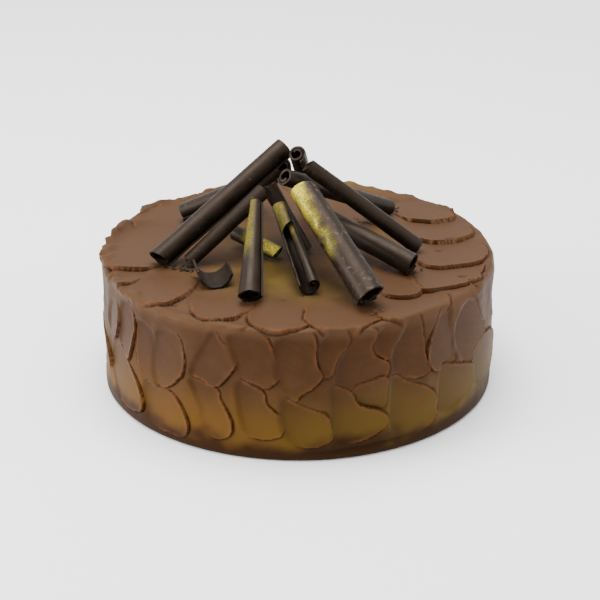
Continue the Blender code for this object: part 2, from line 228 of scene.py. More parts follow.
class Shading:
    """One node tree under construction, with short calls to add and join nodes."""

    def __init__(self, tree: Tree) -> None:
        """Keep the tree."""
        self.tree = tree

    def feed(self, socket: Socket, value: object) -> None:
        """Link a socket to another node's output, or give it a plain value.

        Args:
            socket: Input to feed.
            value: Output of a node, or a plain value.
        """
        if isinstance(value, Socket):
            self.tree.links.new(value, socket)
        else:
            socket.default_value = value

    def fill(self, node: Node, **inputs: object) -> None:
        """Feed the inputs of a node, named with _ for a space."""
        for key, value in inputs.items():
            self.feed(node.inputs[key.replace("_", " ")], value)

    def node(self, kind: str, **inputs: object) -> Node:
        """Add a node.

        Args:
            kind: Blender's name of the node type.
            inputs: Settings that start with a lower-case letter, and sockets by name, with _ for a space.

        Returns:
            The new node.
        """
        made = self.tree.nodes.new(kind)
        for key, value in inputs.items():
            if key[0].islower():
                setattr(made, key, value)
            else:
                self.fill(made, **{key: value})
        return made

    def value(self, name: str, share: float = 1.0) -> Socket:
        """Numbers that the mesh carries under a name, times a share."""
        carried = self.node("ShaderNodeAttribute", attribute_name=name).outputs["Fac"]
        return carried if share == 1.0 else self.times(carried, share)

    def vector(self, name: str) -> Socket:
        """Vectors that the mesh carries under a name."""
        return self.node("ShaderNodeAttribute", attribute_name=name).outputs["Vector"]

    def place(self) -> Socket:
        """Object coordinates."""
        return self.node("ShaderNodeTexCoord").outputs["Object"]

    def math(self, operation: str, first: object, second: object) -> Socket:
        """Work out an operation on two numbers.

        Args:
            operation: Blender's name of the operation.
            first: First number.
            second: Second number.

        Returns:
            The result.
        """
        made = self.node("ShaderNodeMath", operation=operation)
        self.feed(made.inputs[0], first)
        self.feed(made.inputs[1], second)
        return made.outputs[0]

    def times(self, first: object, second: object) -> Socket:
        """Product of two numbers."""
        return self.math("MULTIPLY", first, second)

    def plus(self, first: object, second: object) -> Socket:
        """Sum of two numbers."""
        return self.math("ADD", first, second)

    def about(self, middle: float, spread: float, grain: Socket) -> Socket:
        """Number that wanders round a middle with a noise from 0 to 1."""
        return self.plus(middle - 0.5 * spread, self.times(grain, spread))

    def clamp(self, value: Socket) -> Socket:
        """Number held between 0 and 1."""
        return self.node("ShaderNodeClamp", Value=value).outputs[0]

    def ramp(self, value: Socket, low: float, high: float, start: float = 0.0, end: float = 1.0) -> Socket:
        """Map a number along a clamped S-curve.

        Args:
            value: Number to map.
            low: Where the curve starts.
            high: Where it ends.
            start: Result at the low end.
            end: Result at the high end.

        Returns:
            The result.
        """
        made = self.node("ShaderNodeMapRange", interpolation_type="SMOOTHSTEP", Value=value, From_Min=low,
                         From_Max=high, To_Min=start, To_Max=end)
        return made.outputs["Result"]

    def mix(self, share: Socket, first: object, second: object) -> Socket:
        """Blend two colours.

        Args:
            share: Share of the second one.
            first: First colour.
            second: Second colour.

        Returns:
            The blend.
        """
        made = self.node("ShaderNodeMix", data_type="RGBA")
        self.feed(made.inputs[0], share)
        self.feed(made.inputs[6], first)
        self.feed(made.inputs[7], second)
        return made.outputs[2]

    def coat(self, colour: object, layers: tuple[tuple[Socket, object], ...]) -> Socket:
        """Lay colours over each other.

        Args:
            colour: Colour underneath.
            layers: Share and colour of each layer, from the lowest up.

        Returns:
            The last blend.
        """
        for share, tint in layers:
            colour = self.mix(share, colour, tint)
        return colour

    def noise(self, vector: Socket, scale: object, detail: float = 2.0) -> Socket:
        """Blender's noise over a vector."""
        return self.node("ShaderNodeTexNoise", Vector=vector, Scale=scale, Detail=detail).outputs["Fac"]

    def streaks(self, vector: Socket, scale: Triple, detail: float = 2.0) -> Socket:
        """Blender's noise over a vector that is scaled along each axis."""
        scaled = self.node("ShaderNodeMapping", Vector=vector, Scale=scale).outputs["Vector"]
        return self.noise(scaled, 1.0, detail)

    def bump(self, height: Socket, strength: float, distance: float) -> Socket:
        """Normals of a fine relief."""
        made = self.node("ShaderNodeBump", Height=height, Strength=strength, Distance=distance)
        return made.outputs["Normal"]

    def mask(self, tree: Tree, **inputs: object) -> Socket:
        """Mask that a node group puts out."""
        return self.node("ShaderNodeGroup", node_tree=tree, **inputs).outputs["Mask"]


def mask_group(name: str, numbers: tuple[str, ...], shape: Callable[[Shading, object], Socket]) -> Tree:
    """Node group with a vector and some numbers in and a mask out, made once.

    Args:
        name: Name of the group.
        numbers: Names of the numbers.
        shape: Adds the nodes between the group's inputs and its mask.

    Returns:
        The group.
    """
    if name in bpy.data.node_groups:
        return bpy.data.node_groups[name]
    tree = bpy.data.node_groups.new(name, "ShaderNodeTree")
    tree.interface.new_socket("Vector", in_out="INPUT", socket_type="NodeSocketVector")
    for number in numbers:
        tree.interface.new_socket(number, in_out="INPUT", socket_type="NodeSocketFloat")
    tree.interface.new_socket("Mask", in_out="OUTPUT", socket_type="NodeSocketFloat")
    kit = Shading(tree)
    into = kit.node("NodeGroupInput")
    kit.fill(kit.node("NodeGroupOutput"), Mask=shape(kit, into.outputs))
    return tree


def speckle_shape(kit: Shading, into: object) -> Socket:
    """Sparse specks: the peaks of a fine noise, cut by a threshold that falls as the amount grows.

    Args:
        kit: Tree to add to.
        into: Vector, Scale and Amount.

    Returns:
        The mask.
    """
    grain = kit.noise(into["Vector"], into["Scale"], 1.0)
    edge = kit.math("SUBTRACT", 0.82, kit.times(into["Amount"], 0.45))
    return kit.clamp(kit.times(kit.math("SUBTRACT", grain, edge), 9.0))


def blotch_shape(kit: Shading, into: object) -> Socket:
    """Soft uneven patches: a coarse and a finer noise, averaged and steepened.

    Args:
        kit: Tree to add to.
        into: Vector and Scale.

    Returns:
        The mask.
    """
    coarse, fine = (kit.noise(into["Vector"], kit.times(into["Scale"], factor), 3.0) for factor in (1.0, 3.7))
    return kit.ramp(kit.plus(kit.times(coarse, 0.65), kit.times(fine, 0.35)), 0.36, 0.64)


def speckles(kit: Shading, place: Socket, scale: float, amount: Socket) -> Socket:
    """Mask of sparse specks."""
    group = mask_group("sparse_specks", ("Scale", "Amount"), speckle_shape)
    return kit.mask(group, Vector=place, Scale=scale, Amount=amount)


def blotches(kit: Shading, place: Socket, scale: float) -> Socket:
    """Mask of soft uneven patches."""
    return kit.mask(mask_group("soft_blotches", ("Scale",), blotch_shape), Vector=place, Scale=scale)


def new_material(name: str) -> tuple[Material, Shading, Node]:
    """Start a material.

    Args:
        name: Name of the material.

    Returns:
        The material, its tree and its shader.
    """
    made = bpy.data.materials.new(name)
    made.use_nodes = True
    return made, Shading(made.node_tree), made.node_tree.nodes["Principled BSDF"]


@dataclass(frozen=True)
class FrostingFinish:
    """Satin chocolate buttercream: painted highlights on thin lips, painted shade in hollows, painted light
    on the top, faint knife lines, and gold low down that is gold dust plus a painted reflection of the gold
    board.
    """

    body: Colour = (0.036, 0.0142, 0.0050, 1.0)
    pale: Colour = (0.054, 0.0238, 0.0098, 1.0)
    # Painted light: the top comes out paler where the overhead light falls.
    painted_top_light: Colour = (0.066, 0.0325, 0.0158, 1.0)
    # Dark used for painted shade in grooves, hollows and between the curls, and for a few darker knife
    # streaks.
    shade_and_streak_dark: Colour = (0.010, 0.0025, 0.0010, 1.0)
    # Painted highlight on the crests of the lips.
    lip: Colour = (0.105, 0.0360, 0.0100, 1.0)
    # Golden and olive tints low on the side: gold dust plus a painted reflection of the gold board.
    golden: Colour = (0.088, 0.0385, 0.0048, 1.0)
    olive: Colour = (0.070, 0.0405, 0.0050, 1.0)
    foot: Colour = (0.012, 0.0028, 0.0006, 1.0)
    lustre: Colour = (0.120, 0.0850, 0.0080, 1.0)
    roughness: float = 0.56
    roughness_spread: float = 0.14
    specular: float = 0.12
    specular_tint: Colour = (1.0, 0.72, 0.48, 1.0)
    line_scale: Triple = (30.0, 1400.0, 1.0)
    broad_scale: Triple = (22.0, 260.0, 1.0)

    def make(self) -> Material:
        """Build the material.

        Returns:
            A material that reads the attributes for the painted lip highlight, the painted shade, the painted
            top light, the low gold (gold dust plus a painted reflection of the gold board), olive, foot, gold
            and smear.
        """
        made, kit, shader = new_material("satin_frosting")
        place, smear = kit.place(), kit.vector("smear")
        lines = kit.streaks(smear, self.line_scale, 3.0)
        broad = kit.streaks(smear, self.broad_scale)
        crumb = kit.noise(place, 900.0)
        colour = kit.coat(self.body, (
            (kit.times(blotches(kit, place, 42.0), 0.5), self.pale),
            (kit.ramp(broad, 0.45, 0.75, 0.0, 0.12), self.shade_and_streak_dark),
            # painted light on the top
            (kit.value("painted_top_light", 0.75), self.painted_top_light),
            # gold dust low on the side, partly a painted reflection of the gold board
            (kit.value("low", 0.85), kit.mix(kit.value("olive"), self.golden, self.olive)),
            (kit.value("gold", 0.7), self.lustre),
            (kit.value("foot", 0.90), self.foot),
            # painted shade in grooves, hollows, cracks and between the curls
            (kit.value("hollow", 0.85), self.shade_and_streak_dark),
            # painted highlight on the lip crests
            (kit.value("lip", 0.55), self.lip),
        ))
        height = kit.plus(kit.plus(kit.times(lines, 0.55), kit.times(crumb, 0.25)), kit.times(broad, 0.9))
        kit.fill(shader, Base_Color=colour, Roughness=kit.about(self.roughness, self.roughness_spread, lines),
                 Normal=kit.bump(height, 0.14, 0.0006), Specular_IOR_Level=self.specular,
                 Specular_Tint=self.specular_tint)
        return made


@dataclass(frozen=True)
class ChocolateFinish:
    """Dark rolled chocolate: a low sheen, grey bloom, pale scuffs, gold lustre dust where it fell, and
    painted shade deep inside the roll.
    """

    body: Colour = (0.0056, 0.0032, 0.0020, 1.0)
    bloom: Colour = (0.0135, 0.0083, 0.0055, 1.0)
    scuff: Colour = (0.075, 0.053, 0.038, 1.0)
    dust: Colour = (0.450, 0.372, 0.032, 1.0)
    # Near-black painted shade for the inside of the roll.
    inner: Colour = (0.0015, 0.0010, 0.0008, 1.0)
    roughness: float = 0.50
    roughness_spread: float = 0.12
    specular: float = 0.25
    specular_tint: Colour = (1.0, 0.76, 0.58, 1.0)
    line_scale: Triple = (60.0, 900.0, 1.0)

    def make(self) -> Material:
        """Build the material.

        Returns:
            A material that reads the attributes dust, scuff, inner (painted shade inside the roll) and roll.
        """
        made, kit, shader = new_material("dark_chocolate")
        place = kit.place()
        blotch = blotches(kit, place, 95.0)
        grain = kit.noise(place, 1500.0, 1.0)
        lines = kit.streaks(kit.vector("roll"), self.line_scale)
        specks = speckles(kit, place, 420.0, kit.value("scuff"))
        flecks = speckles(kit, place, 700.0, kit.value("dust"))
        powder = kit.times(kit.value("dust"), kit.ramp(grain, 0.34, 0.60, 0.30, 1.0))
        dusty = kit.clamp(kit.plus(powder, kit.times(flecks, 0.35)))
        colour = kit.coat(self.body, (
            (kit.times(blotch, 0.6), self.bloom),
            (kit.times(specks, 0.5), self.scuff),
            (dusty, self.dust),
            # painted shade inside the roll
            (kit.value("inner", 0.85), self.inner),
        ))
        height = kit.plus(kit.plus(kit.times(lines, 0.6), kit.times(grain, 0.25)), kit.times(specks, 0.5))
        kit.fill(shader, Base_Color=colour, Metallic=kit.times(dusty, 0.70),
                 Roughness=kit.about(self.roughness, self.roughness_spread, blotch),
                 Normal=kit.bump(height, 0.22, 0.0004), Specular_IOR_Level=self.specular,
                 Specular_Tint=self.specular_tint)
        return made


@dataclass(frozen=True)
class FloorFinish:
    """Plain pale floor with the faintest mottling."""

    colour: Colour = (0.96, 0.96, 0.96, 1.0)
    mottle: Colour = (0.93, 0.93, 0.93, 1.0)

    def make(self) -> Material:
        """Build the floor's material.

        Returns:
            The material.
        """
        made, kit, shader = new_material("pale_floor")
        shade = kit.mix(kit.times(blotches(kit, kit.place(), 3.0), 0.02), self.colour, self.mottle)
        kit.fill(shader, Base_Color=shade, Roughness=0.85, Specular_IOR_Level=0.1)
        return made


# Curls


@dataclass(frozen=True)
class RollShape:
    """Section of a rolled sheet: its roll, and the wider tube that leads up to it where there is one."""

    radius: float
    tube: float
    arc: float
    turn: float


@dataclass
class RolledCurl:
    """A thin sheet of chocolate rolled up along its length.

    The section follows the sheet: its direction is the sum of length over bend radius, and the
    radius tightens evenly by one sheet and gap per turn, from half of that over the named radius.
    """

    name: str
    foot: Triple
    foot_radius: float
    head: Triple
    head_radius: float
    turns: float
    free_edge: float
    slant: float
    gold: float = 0.0
    gold_span: tuple[float, float] = (0.0, 1.0)
    gold_side: Triple = (-0.85, -0.25, 0.45)
    gold_width: float = 0.5
    gold_taper: float = 0.0
    scuffed: float = 0.2
    ragged: float = 0.30
    overhang: float = 1.6
    end: RollEnd = RollEnd.BROKEN
    seed: int = 1

    SHEET = 1.1 * MM
    THIN_SHEET = 0.85 * MM
    THIN_BELOW = 4.0 * MM
    ROLL_GAP = 0.6 * MM
    TIGHTEST = 0.3
    TURN_STEPS = 44
    LEAST_STEPS = 24
    LEAD_STEPS = 40
    PATH_STEPS = 24
    STATION = 1.25 * MM
    LEAST_STATIONS = 12
    WINDING = 1.0
    EDGE_STRETCH = 40.0
    EDGE_TEETH = ((1.3, 3.5, 0.0), (0.6, 1.1, 50.0))
    RIPPLE = ((0.12, 8.0, 0.0), (0.025, 2.6, 31.0))
    DUST_PATCHES = ((0.16, 6.0, 0.0), (0.07, 2.0, 9.0))
    DUST_ENDS = 0.22
    DUST_BLUR = 0.60
    DUST_POWER = 1.4
    SCUFF_PATCHES = (0.25, 11.0, 70.0)
    SCUFFED_END = 0.015
    BRIGHT_END = 0.006
    CREASE = 50.0

    def axis(self) -> tuple[Array, float, Array]:
        """Line that the curl is rolled round.

        Returns:
            Its foot, its length and its unit direction, in metres.
        """
        foot = np.array(self.foot) * MM
        head = np.array(self.head) * MM
        length = float(np.linalg.norm(head - foot))
        return foot, length, (head - foot) / length

    def tube_radius(self, share: float) -> float:
        """Radius of the tube at a share of its length, in metres."""
        return (self.foot_radius + (self.head_radius - self.foot_radius) * share) * MM

    def shape_at(self, share: float) -> RollShape:
        """Section at a share of the length, 0 at the foot and 1 at the head."""
        radius = self.tube_radius(share)
        return RollShape(radius, radius, 0.0, math.radians(self.free_edge))

    def sheet(self) -> float:
        """Thickness of the sheet, thinner on slim rolls."""
        return self.SHEET if self.shape_at(0.0).radius > self.THIN_BELOW else self.THIN_SHEET

    def section(self, shape: RollShape) -> tuple[Array, Array, Array]:
        """Outline of the rolled sheet.

        Args:
            shape: Section to follow.

        Returns:
            Outer points, inner points, and the unit outward vectors, in the section's own plane.
        """
        pitch = self.sheet() + self.ROLL_GAP
        start = shape.radius + 0.5 * pitch
        wound = 2.0 * math.pi * self.turns * (start - 0.5 * pitch * self.turns)
        count = max(self.LEAST_STEPS, int(round(self.turns * self.TURN_STEPS)))
        steps = np.linspace(0.0, wound, count * self.PATH_STEPS + 1)
        if shape.arc > 0.0:
            lead = np.linspace(-shape.arc * shape.tube, 0.0, self.LEAD_STEPS * self.PATH_STEPS + 1)
            steps = np.concatenate((lead[:-1], steps))
        tightest = (self.TIGHTEST * shape.radius) ** 2
        bend = np.sqrt(np.clip(start**2 - pitch * np.clip(steps, 0.0, None) / math.pi, tightest, None))
        bend = np.where(steps < 0.0, shape.tube, bend)
        heading = np.concatenate(([0.0], np.cumsum(np.diff(steps) / bend[1:])))
        heading -= np.interp(0.0, steps, heading)
        middle = 0.5 * (heading[1:] + heading[:-1])
        x = np.concatenate(([0.0], np.cumsum(-np.diff(steps) * np.sin(middle))))
        y = np.concatenate(([0.0], np.cumsum(np.diff(steps) * np.cos(middle))))
        x += (shape.tube if shape.arc > 0.0 else start) - np.interp(0.0, steps, x)
        y -= np.interp(0.0, steps, y)
        outward = np.column_stack((np.cos(heading), np.sin(heading)))[::self.PATH_STEPS]
        outer = np.column_stack((x, y))[::self.PATH_STEPS]
        return outer, outer - outward * self.sheet(), outward

    def end_shift(self, spin: Array, share: float, noise: Noise) -> Array:
        """How far the sheet's end runs along the axis, where the foot's upper side overhangs its mouth.

        Args:
            spin: Share of the sheet's width, from the free edge to the innermost one.
            share: 0 at the foot and 1 at the head.
            noise: Noise that makes the broken edge ragged.

        Returns:
            Shift in metres for each share of the width.
        """
        line = np.column_stack((spin * self.EDGE_STRETCH, np.full_like(spin, 7.0 * share + 3.0), 0.0 * spin))
        ragged = self.ragged * MM * noise.layered(line, *self.EDGE_TEETH)
        if self.end is RollEnd.TONGUE:
            return ragged - self.slant * MM * (1.0 - (2.0 * spin - 1.0) ** 2) * (1.0 - share)
        wound = 2.0 * math.pi * spin * self.turns
        wave = np.cos(wound + 1.0) * self.slant * MM
        upper = 0.5 + 0.5 * np.sin(math.radians(self.free_edge) + wound)
        return wave * (1.0 - 2.0 * share) + ragged - self.overhang * MM * upper * (1.0 - share)

    def build(self) -> Piece:
        """Carry the rolled section from foot to head and close both ends.

        Returns:
            The curl as a closed mesh that stands for its solid.
        """
        foot, length, direction = self.axis()
        level = np.cross((0.0, 0.0, 1.0), direction)
        level /= np.linalg.norm(level)
        upward = np.cross(direction, level)
        level = level * self.WINDING
        noise = Noise(self.seed)
        stations = np.linspace(0.0, 1.0, max(self.LEAST_STATIONS, int(length / self.STATION)))
        rings, roll, normals = [], [], []
        for share in stations:
            shape = self.shape_at(float(share))
            outer, inner, outward = self.section(shape)
            spin = np.linspace(0.0, 1.0, len(outer))
            spin = np.concatenate((spin, spin[::-1]))
            slide = share * length + self.end_shift(spin, 0.0, noise) * (1.0 - share) ** 3
            slide = slide + self.end_shift(spin, 1.0, noise) * share**3
            across, over = turned(np.vstack((outer, inner[::-1])), shape.turn)
            rings.append(foot + slide[:, None] * direction + across[:, None] * level + over[:, None] * upward)
            across, over = turned(np.vstack((outward, outward[::-1])), shape.turn)
            normals.append(across[:, None] * level + over[:, None] * upward)
            roll.append(np.column_stack((slide, spin * 0.05, np.full_like(slide, self.seed * 0.1))))
        points, facing = np.vstack(rings), np.vstack(normals)
        points = points + facing * noise.layered(points * TO_MM, *self.RIPPLE)[:, None] * MM
        count = len(rings[0])
        i = np.arange(count // 2 - 1)
        foot_cap = np.column_stack((i + 1, i, count - 1 - i, count - 2 - i))
        head_cap = (len(rings) - 1) * count + foot_cap[:, [1, 0, 3, 2]]
        quads = np.vstack((grid_faces(len(rings), count, True), foot_cap, head_cap))
        if self.WINDING < 0.0:
            quads = quads[:, ::-1]
        piece = add_object(self.name + "_chocolate", points, quads)
        self.paint(piece, points, facing, np.vstack(roll), stations, noise)
        mark_sharp(piece, self.CREASE)
        return piece

    def paint(self, piece: Piece, points: Array, facing: Array, roll: Array,
              stations: Array, noise: Noise) -> None:
        """Store where gold dust and scuffs lie, and where painted shade darkens the inside of the roll.

        Args:
            piece: The curl.
            points: Its vertices.
            facing: Outward direction of the sheet at each vertex.
            roll: Place along and across the sheet at each vertex.
            stations: Shares of the length, one for each ring.
            noise: Noise that breaks up the edge of the dust.
        """
        count = len(points) // len(stations)
        share = np.repeat(stations, count)
        from_end = np.minimum(share, 1.0 - share)
        outside = np.tile(np.arange(count) < count // 2, len(stations))
        side = np.array(self.gold_side) / np.linalg.norm(self.gold_side)
        low, high = self.gold_span
        inside = smooth((share - low) / self.DUST_ENDS + 0.5) * smooth((high - share) / self.DUST_ENDS + 0.5)
        edge = self.gold_width + self.gold_taper * (1.0 - share) / max(1.0 - low, 0.1)
        patch = noise.layered(points * TO_MM, *self.DUST_PATCHES)
        facing_gold = smooth((facing @ side - edge + patch) / self.DUST_BLUR) ** self.DUST_POWER
        dust = self.gold * inside * outside * facing_gold
        worn = self.scuffed + 0.10 * bell(from_end, self.SCUFFED_END)
        scuff = worn + noise.layered(points * TO_MM, self.SCUFF_PATCHES)
        spin = np.minimum(np.arange(count), count - 1 - np.arange(count)) / (0.5 * count)
        # Painted shade on the inner side and inner turns of the sheet, kept off the broken ends.
        inside_shade = np.maximum(1.0 - outside, np.tile(spin * self.turns > 1.0, len(stations)))
        inside_shade = inside_shade * (1.0 - bell(from_end, self.BRIGHT_END)) * (self.end is RollEnd.BROKEN)
        add_layer(piece, "inner", inside_shade)
        add_layer(piece, "dust", np.clip(dust, 0.0, 1.0))
        add_layer(piece, "scuff", np.clip(scuff, 0.0, 1.0))
        add_layer(piece, "roll", roll)

    def rest_place(self) -> Triple:
        """Find the lowest point of the foot.

        Returns:
            Its plan place and its height, in metres.
        """
        foot, _, direction = self.axis()
        level = float(np.hypot(direction[0], direction[1]))
        radius = self.foot_radius * MM
        rise = direction[2] * radius / level
        return foot[0] + direction[0] * rise, foot[1] + direction[1] * rise, foot[2] - level * radius

    def underside(self, x: Array, y: Array, margin: float, past_mouth: float, seat: float,
                  far: float) -> Array:
        """Height of the curl's underside over plan points: axis height - sqrt(r^2 - e^2) / cos(tilt).

        Args:
            x: Plan places.
            y: Plan places.
            margin: Gap that is kept all round the curl.
            past_mouth: How far the dent runs on past the foot.
            seat: How far under the foot's lowest point the dent may reach.
            far: Height to give where the curl isn't.

        Returns:
            One height for each point.
        """
        foot, length, direction = self.axis()
        level = float(np.hypot(direction[0], direction[1]))
        plan = direction[:2] / level
        along = (x - foot[0]) * plan[0] + (y - foot[1]) * plan[1]
        across = (x - foot[0]) * plan[1] - (y - foot[1]) * plan[0]
        radius = self.foot_radius * MM + margin
        half_chord = np.sqrt(np.clip(radius**2 - across**2, 0.0, None))
        height = foot[2] + along * direction[2] / level - half_chord / level
        height = np.maximum(height, self.rest_place()[2] - seat)
        under = (np.abs(across) < radius) & (along > direction[2] * half_chord - past_mouth)
        under &= along < length * level
        return np.where(under, height, far)


@dataclass
class SplitCurl(RolledCurl):
    """A curl whose tube is broken open on top towards its foot, over a slim roll along its side.

    The sheet's free edge stands at the cap's edge near the head and drops to the low wall's edge.
    """

    broken_to: float = 0.64
    broken_span: float = 0.16
    wall_edge: float = -185.0
    cap_edge: float = -318.0
    twist: float = -45.0
    slim_foot: float = 2.6
    slim_head: float = 1.6

    WINDING = -1.0
    TORN_EDGE = ((3.0, 31.0), (2.0, 83.0))

    def shape_at(self, share: float) -> RollShape:
        """Section at a share of the length: a lead of the tube's radius, then the slim roll.

        Args:
            share: 0 at the foot and 1 at the head.

        Returns:
            The section.
        """
        capped = float(above(np.array(share), self.broken_to, self.broken_span))
        join = self.free_edge + share * self.twist
        free = self.wall_edge + capped * (self.cap_edge - self.wall_edge)
        free += sum(height * math.sin(pace * share) for height, pace in self.TORN_EDGE)
        slim = (self.slim_foot + share * (self.slim_head - self.slim_foot)) * MM
        return RollShape(slim, self.tube_radius(share), math.radians(join - free), math.radians(join))


@dataclass
class CurlPile:
    """All the curls that lean on each other at the middle of the cake."""

    finish: ChocolateFinish = ChocolateFinish()
    curls: tuple[RolledCurl, ...] = (
        RolledCurl("curl_left_large", (-70.3, -23.7, 76.5), 5.6, (-6.7, 23.5, 119.8), 5.4, 1.45, 235, 0.9,
                   overhang=3.4, seed=2),
        RolledCurl("curl_left_slim", (-54.4, -22.3, 74.2), 3.7, (-18.1, -5.5, 104.7), 4.0, 1.3, 20, 1.2,
                   scuffed=0.3, ragged=0.5, seed=3),
        RolledCurl("curl_front_tapered", (-23.5, -69.2, 76.5), 5.9, (-21.2, -18.5, 105.4), 2.9, 1.2, 200, 0.5,
                   gold=0.26, gold_span=(0.42, 1.1), gold_width=0.35, overhang=3.0, seed=4),
        RolledCurl("curl_front_large", (35.3, -73.6, 78.6), 7.9, (3.4, -15.0, 110.1), 7.1, 1.4, 225, 1.0,
                   gold=1.0, gold_span=(0.40, 1.2), gold_side=(-0.71, -0.59, 0.38), gold_width=0.42,
                   gold_taper=0.34, scuffed=0.50, overhang=4.0, seed=5),
        RolledCurl("curl_right_front", (58.0, -33.4, 77.3), 5.9, (13.2, 4.5, 87.9), 5.4, 1.4, 215, 0.8,
                   overhang=2.6, seed=6),
        RolledCurl("curl_right_long", (62.4, -3.2, 74.8), 4.2, (5.5, -2.5, 119.1), 4.1, 1.4, 215, 0.7,
                   seed=7),
        RolledCurl("curl_right_back", (48.8, 50.0, 75.5), 4.4, (-7.0, -6.5, 114.5), 4.4, 1.4, 210, 0.9,
                   seed=8),
        RolledCurl("curl_centre_upright", (4.5, -7.0, 74.5), 3.7, (-15.1, 4.4, 105.3), 4.5, 1.3, 200, 0.6,
                   seed=9),
        RolledCurl("curl_left_back", (-61.6, 39.9, 76.3), 5.2, (-32.3, 18.0, 97.4), 4.5, 1.4, 215, 0.9,
                   seed=10),
        RolledCurl("curl_back_upright", (7.0, 58.0, 75.5), 4.4, (-0.9, 8.0, 121.0), 4.4, 1.6, 300, 0.6,
                   seed=11),
        RolledCurl("curl_inner_left", (-10.5, -15.3, 75.1), 3.7, (-32.8, 6.0, 77.6), 3.6, 1.3, 320, 0.8,
                   gold=0.5, gold_span=(-0.2, 0.7), gold_side=(-0.3, -0.6, 0.7), gold_width=0.25, seed=12),
        RolledCurl("curl_back_left", (-28.0, 61.0, 75.6), 4.7, (-8.0, 25.5, 107.5), 4.2, 1.4, 320, 0.8,
                   gold=0.4, gold_span=(0.7, 1.2), gold_side=(-0.3, -0.4, 0.8), gold_width=0.3, seed=13),
        SplitCurl("curl_front_split", (6.0, -60.0, 75.9), 5.3, (-9.0, -9.0, 97.9), 4.3, 1.35, 10, 0.6,
                  gold=0.26, gold_span=(0.60, 1.2), gold_side=(-0.5, -0.5, 0.7), gold_width=0.45,
                  overhang=0.0, seed=14),
        RolledCurl("curl_open_scoop", (-41.5, -50.0, 80.6), 9.0, (-44.7, -35.0, 81.0), 9.0, 0.44, 200, 3.0,
                   end=RollEnd.TONGUE, scuffed=0.1, seed=15),
    )

    def build(self) -> list[Piece]:
        """Build and dress every curl, each in place of its solid.

        Returns:
            The finished pieces.
        """
        material = self.finish.make()
        pieces = []
        for curl in self.curls:
            piece = curl.build()
            piece.data.materials.append(material)
            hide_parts(curl.name)
            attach(piece, "root")
            pieces.append(piece)
            LOG.info("%s: %d faces", piece.name, len(piece.data.polygons))
        return pieces


# Frosting


@dataclass(frozen=True)
class KnifeStroke:
    """One pull of the knife: a smooth patch with a rounded outline, raised towards one side.

    Corners run round the patch: plan places in millimetres on the top, and degrees from the front
    with millimetres of height on the side. Towards is the heading of the pull in degrees, from 0
    for right to 90 for back, or for up on the side.
    """

    corners: tuple[tuple[float, float], ...]
    towards: float
    bold: float = 1.0

    def moved(self, angle: float, lift: float) -> "KnifeStroke":
        """Put the same patch somewhere else on the side.

        Args:
            angle: Degrees from the front for its middle.
            lift: Millimetres to raise it by.

        Returns:
            The moved stroke.
        """
        middle = sum(corner[0] for corner in self.corners) / len(self.corners)
        corners = tuple((x - middle + angle, z + lift) for x, z in self.corners)
        return KnifeStroke(corners, self.towards, self.bold)


@dataclass(frozen=True)
class StrokeProfile:
    """Heights and widths, in millimetres, that all the strokes of one surface share."""

    low: float
    high: float
    crest: float
    groove: float
    soft: float
    wobble: float
    # Strength of the painted shade on the pressed side of each stroke.
    pressed_shade: float = 0.15
    crest_width: float = 0.75
    groove_width: float = 0.75
    edge: float = 0.45
    reach: float = 0.42


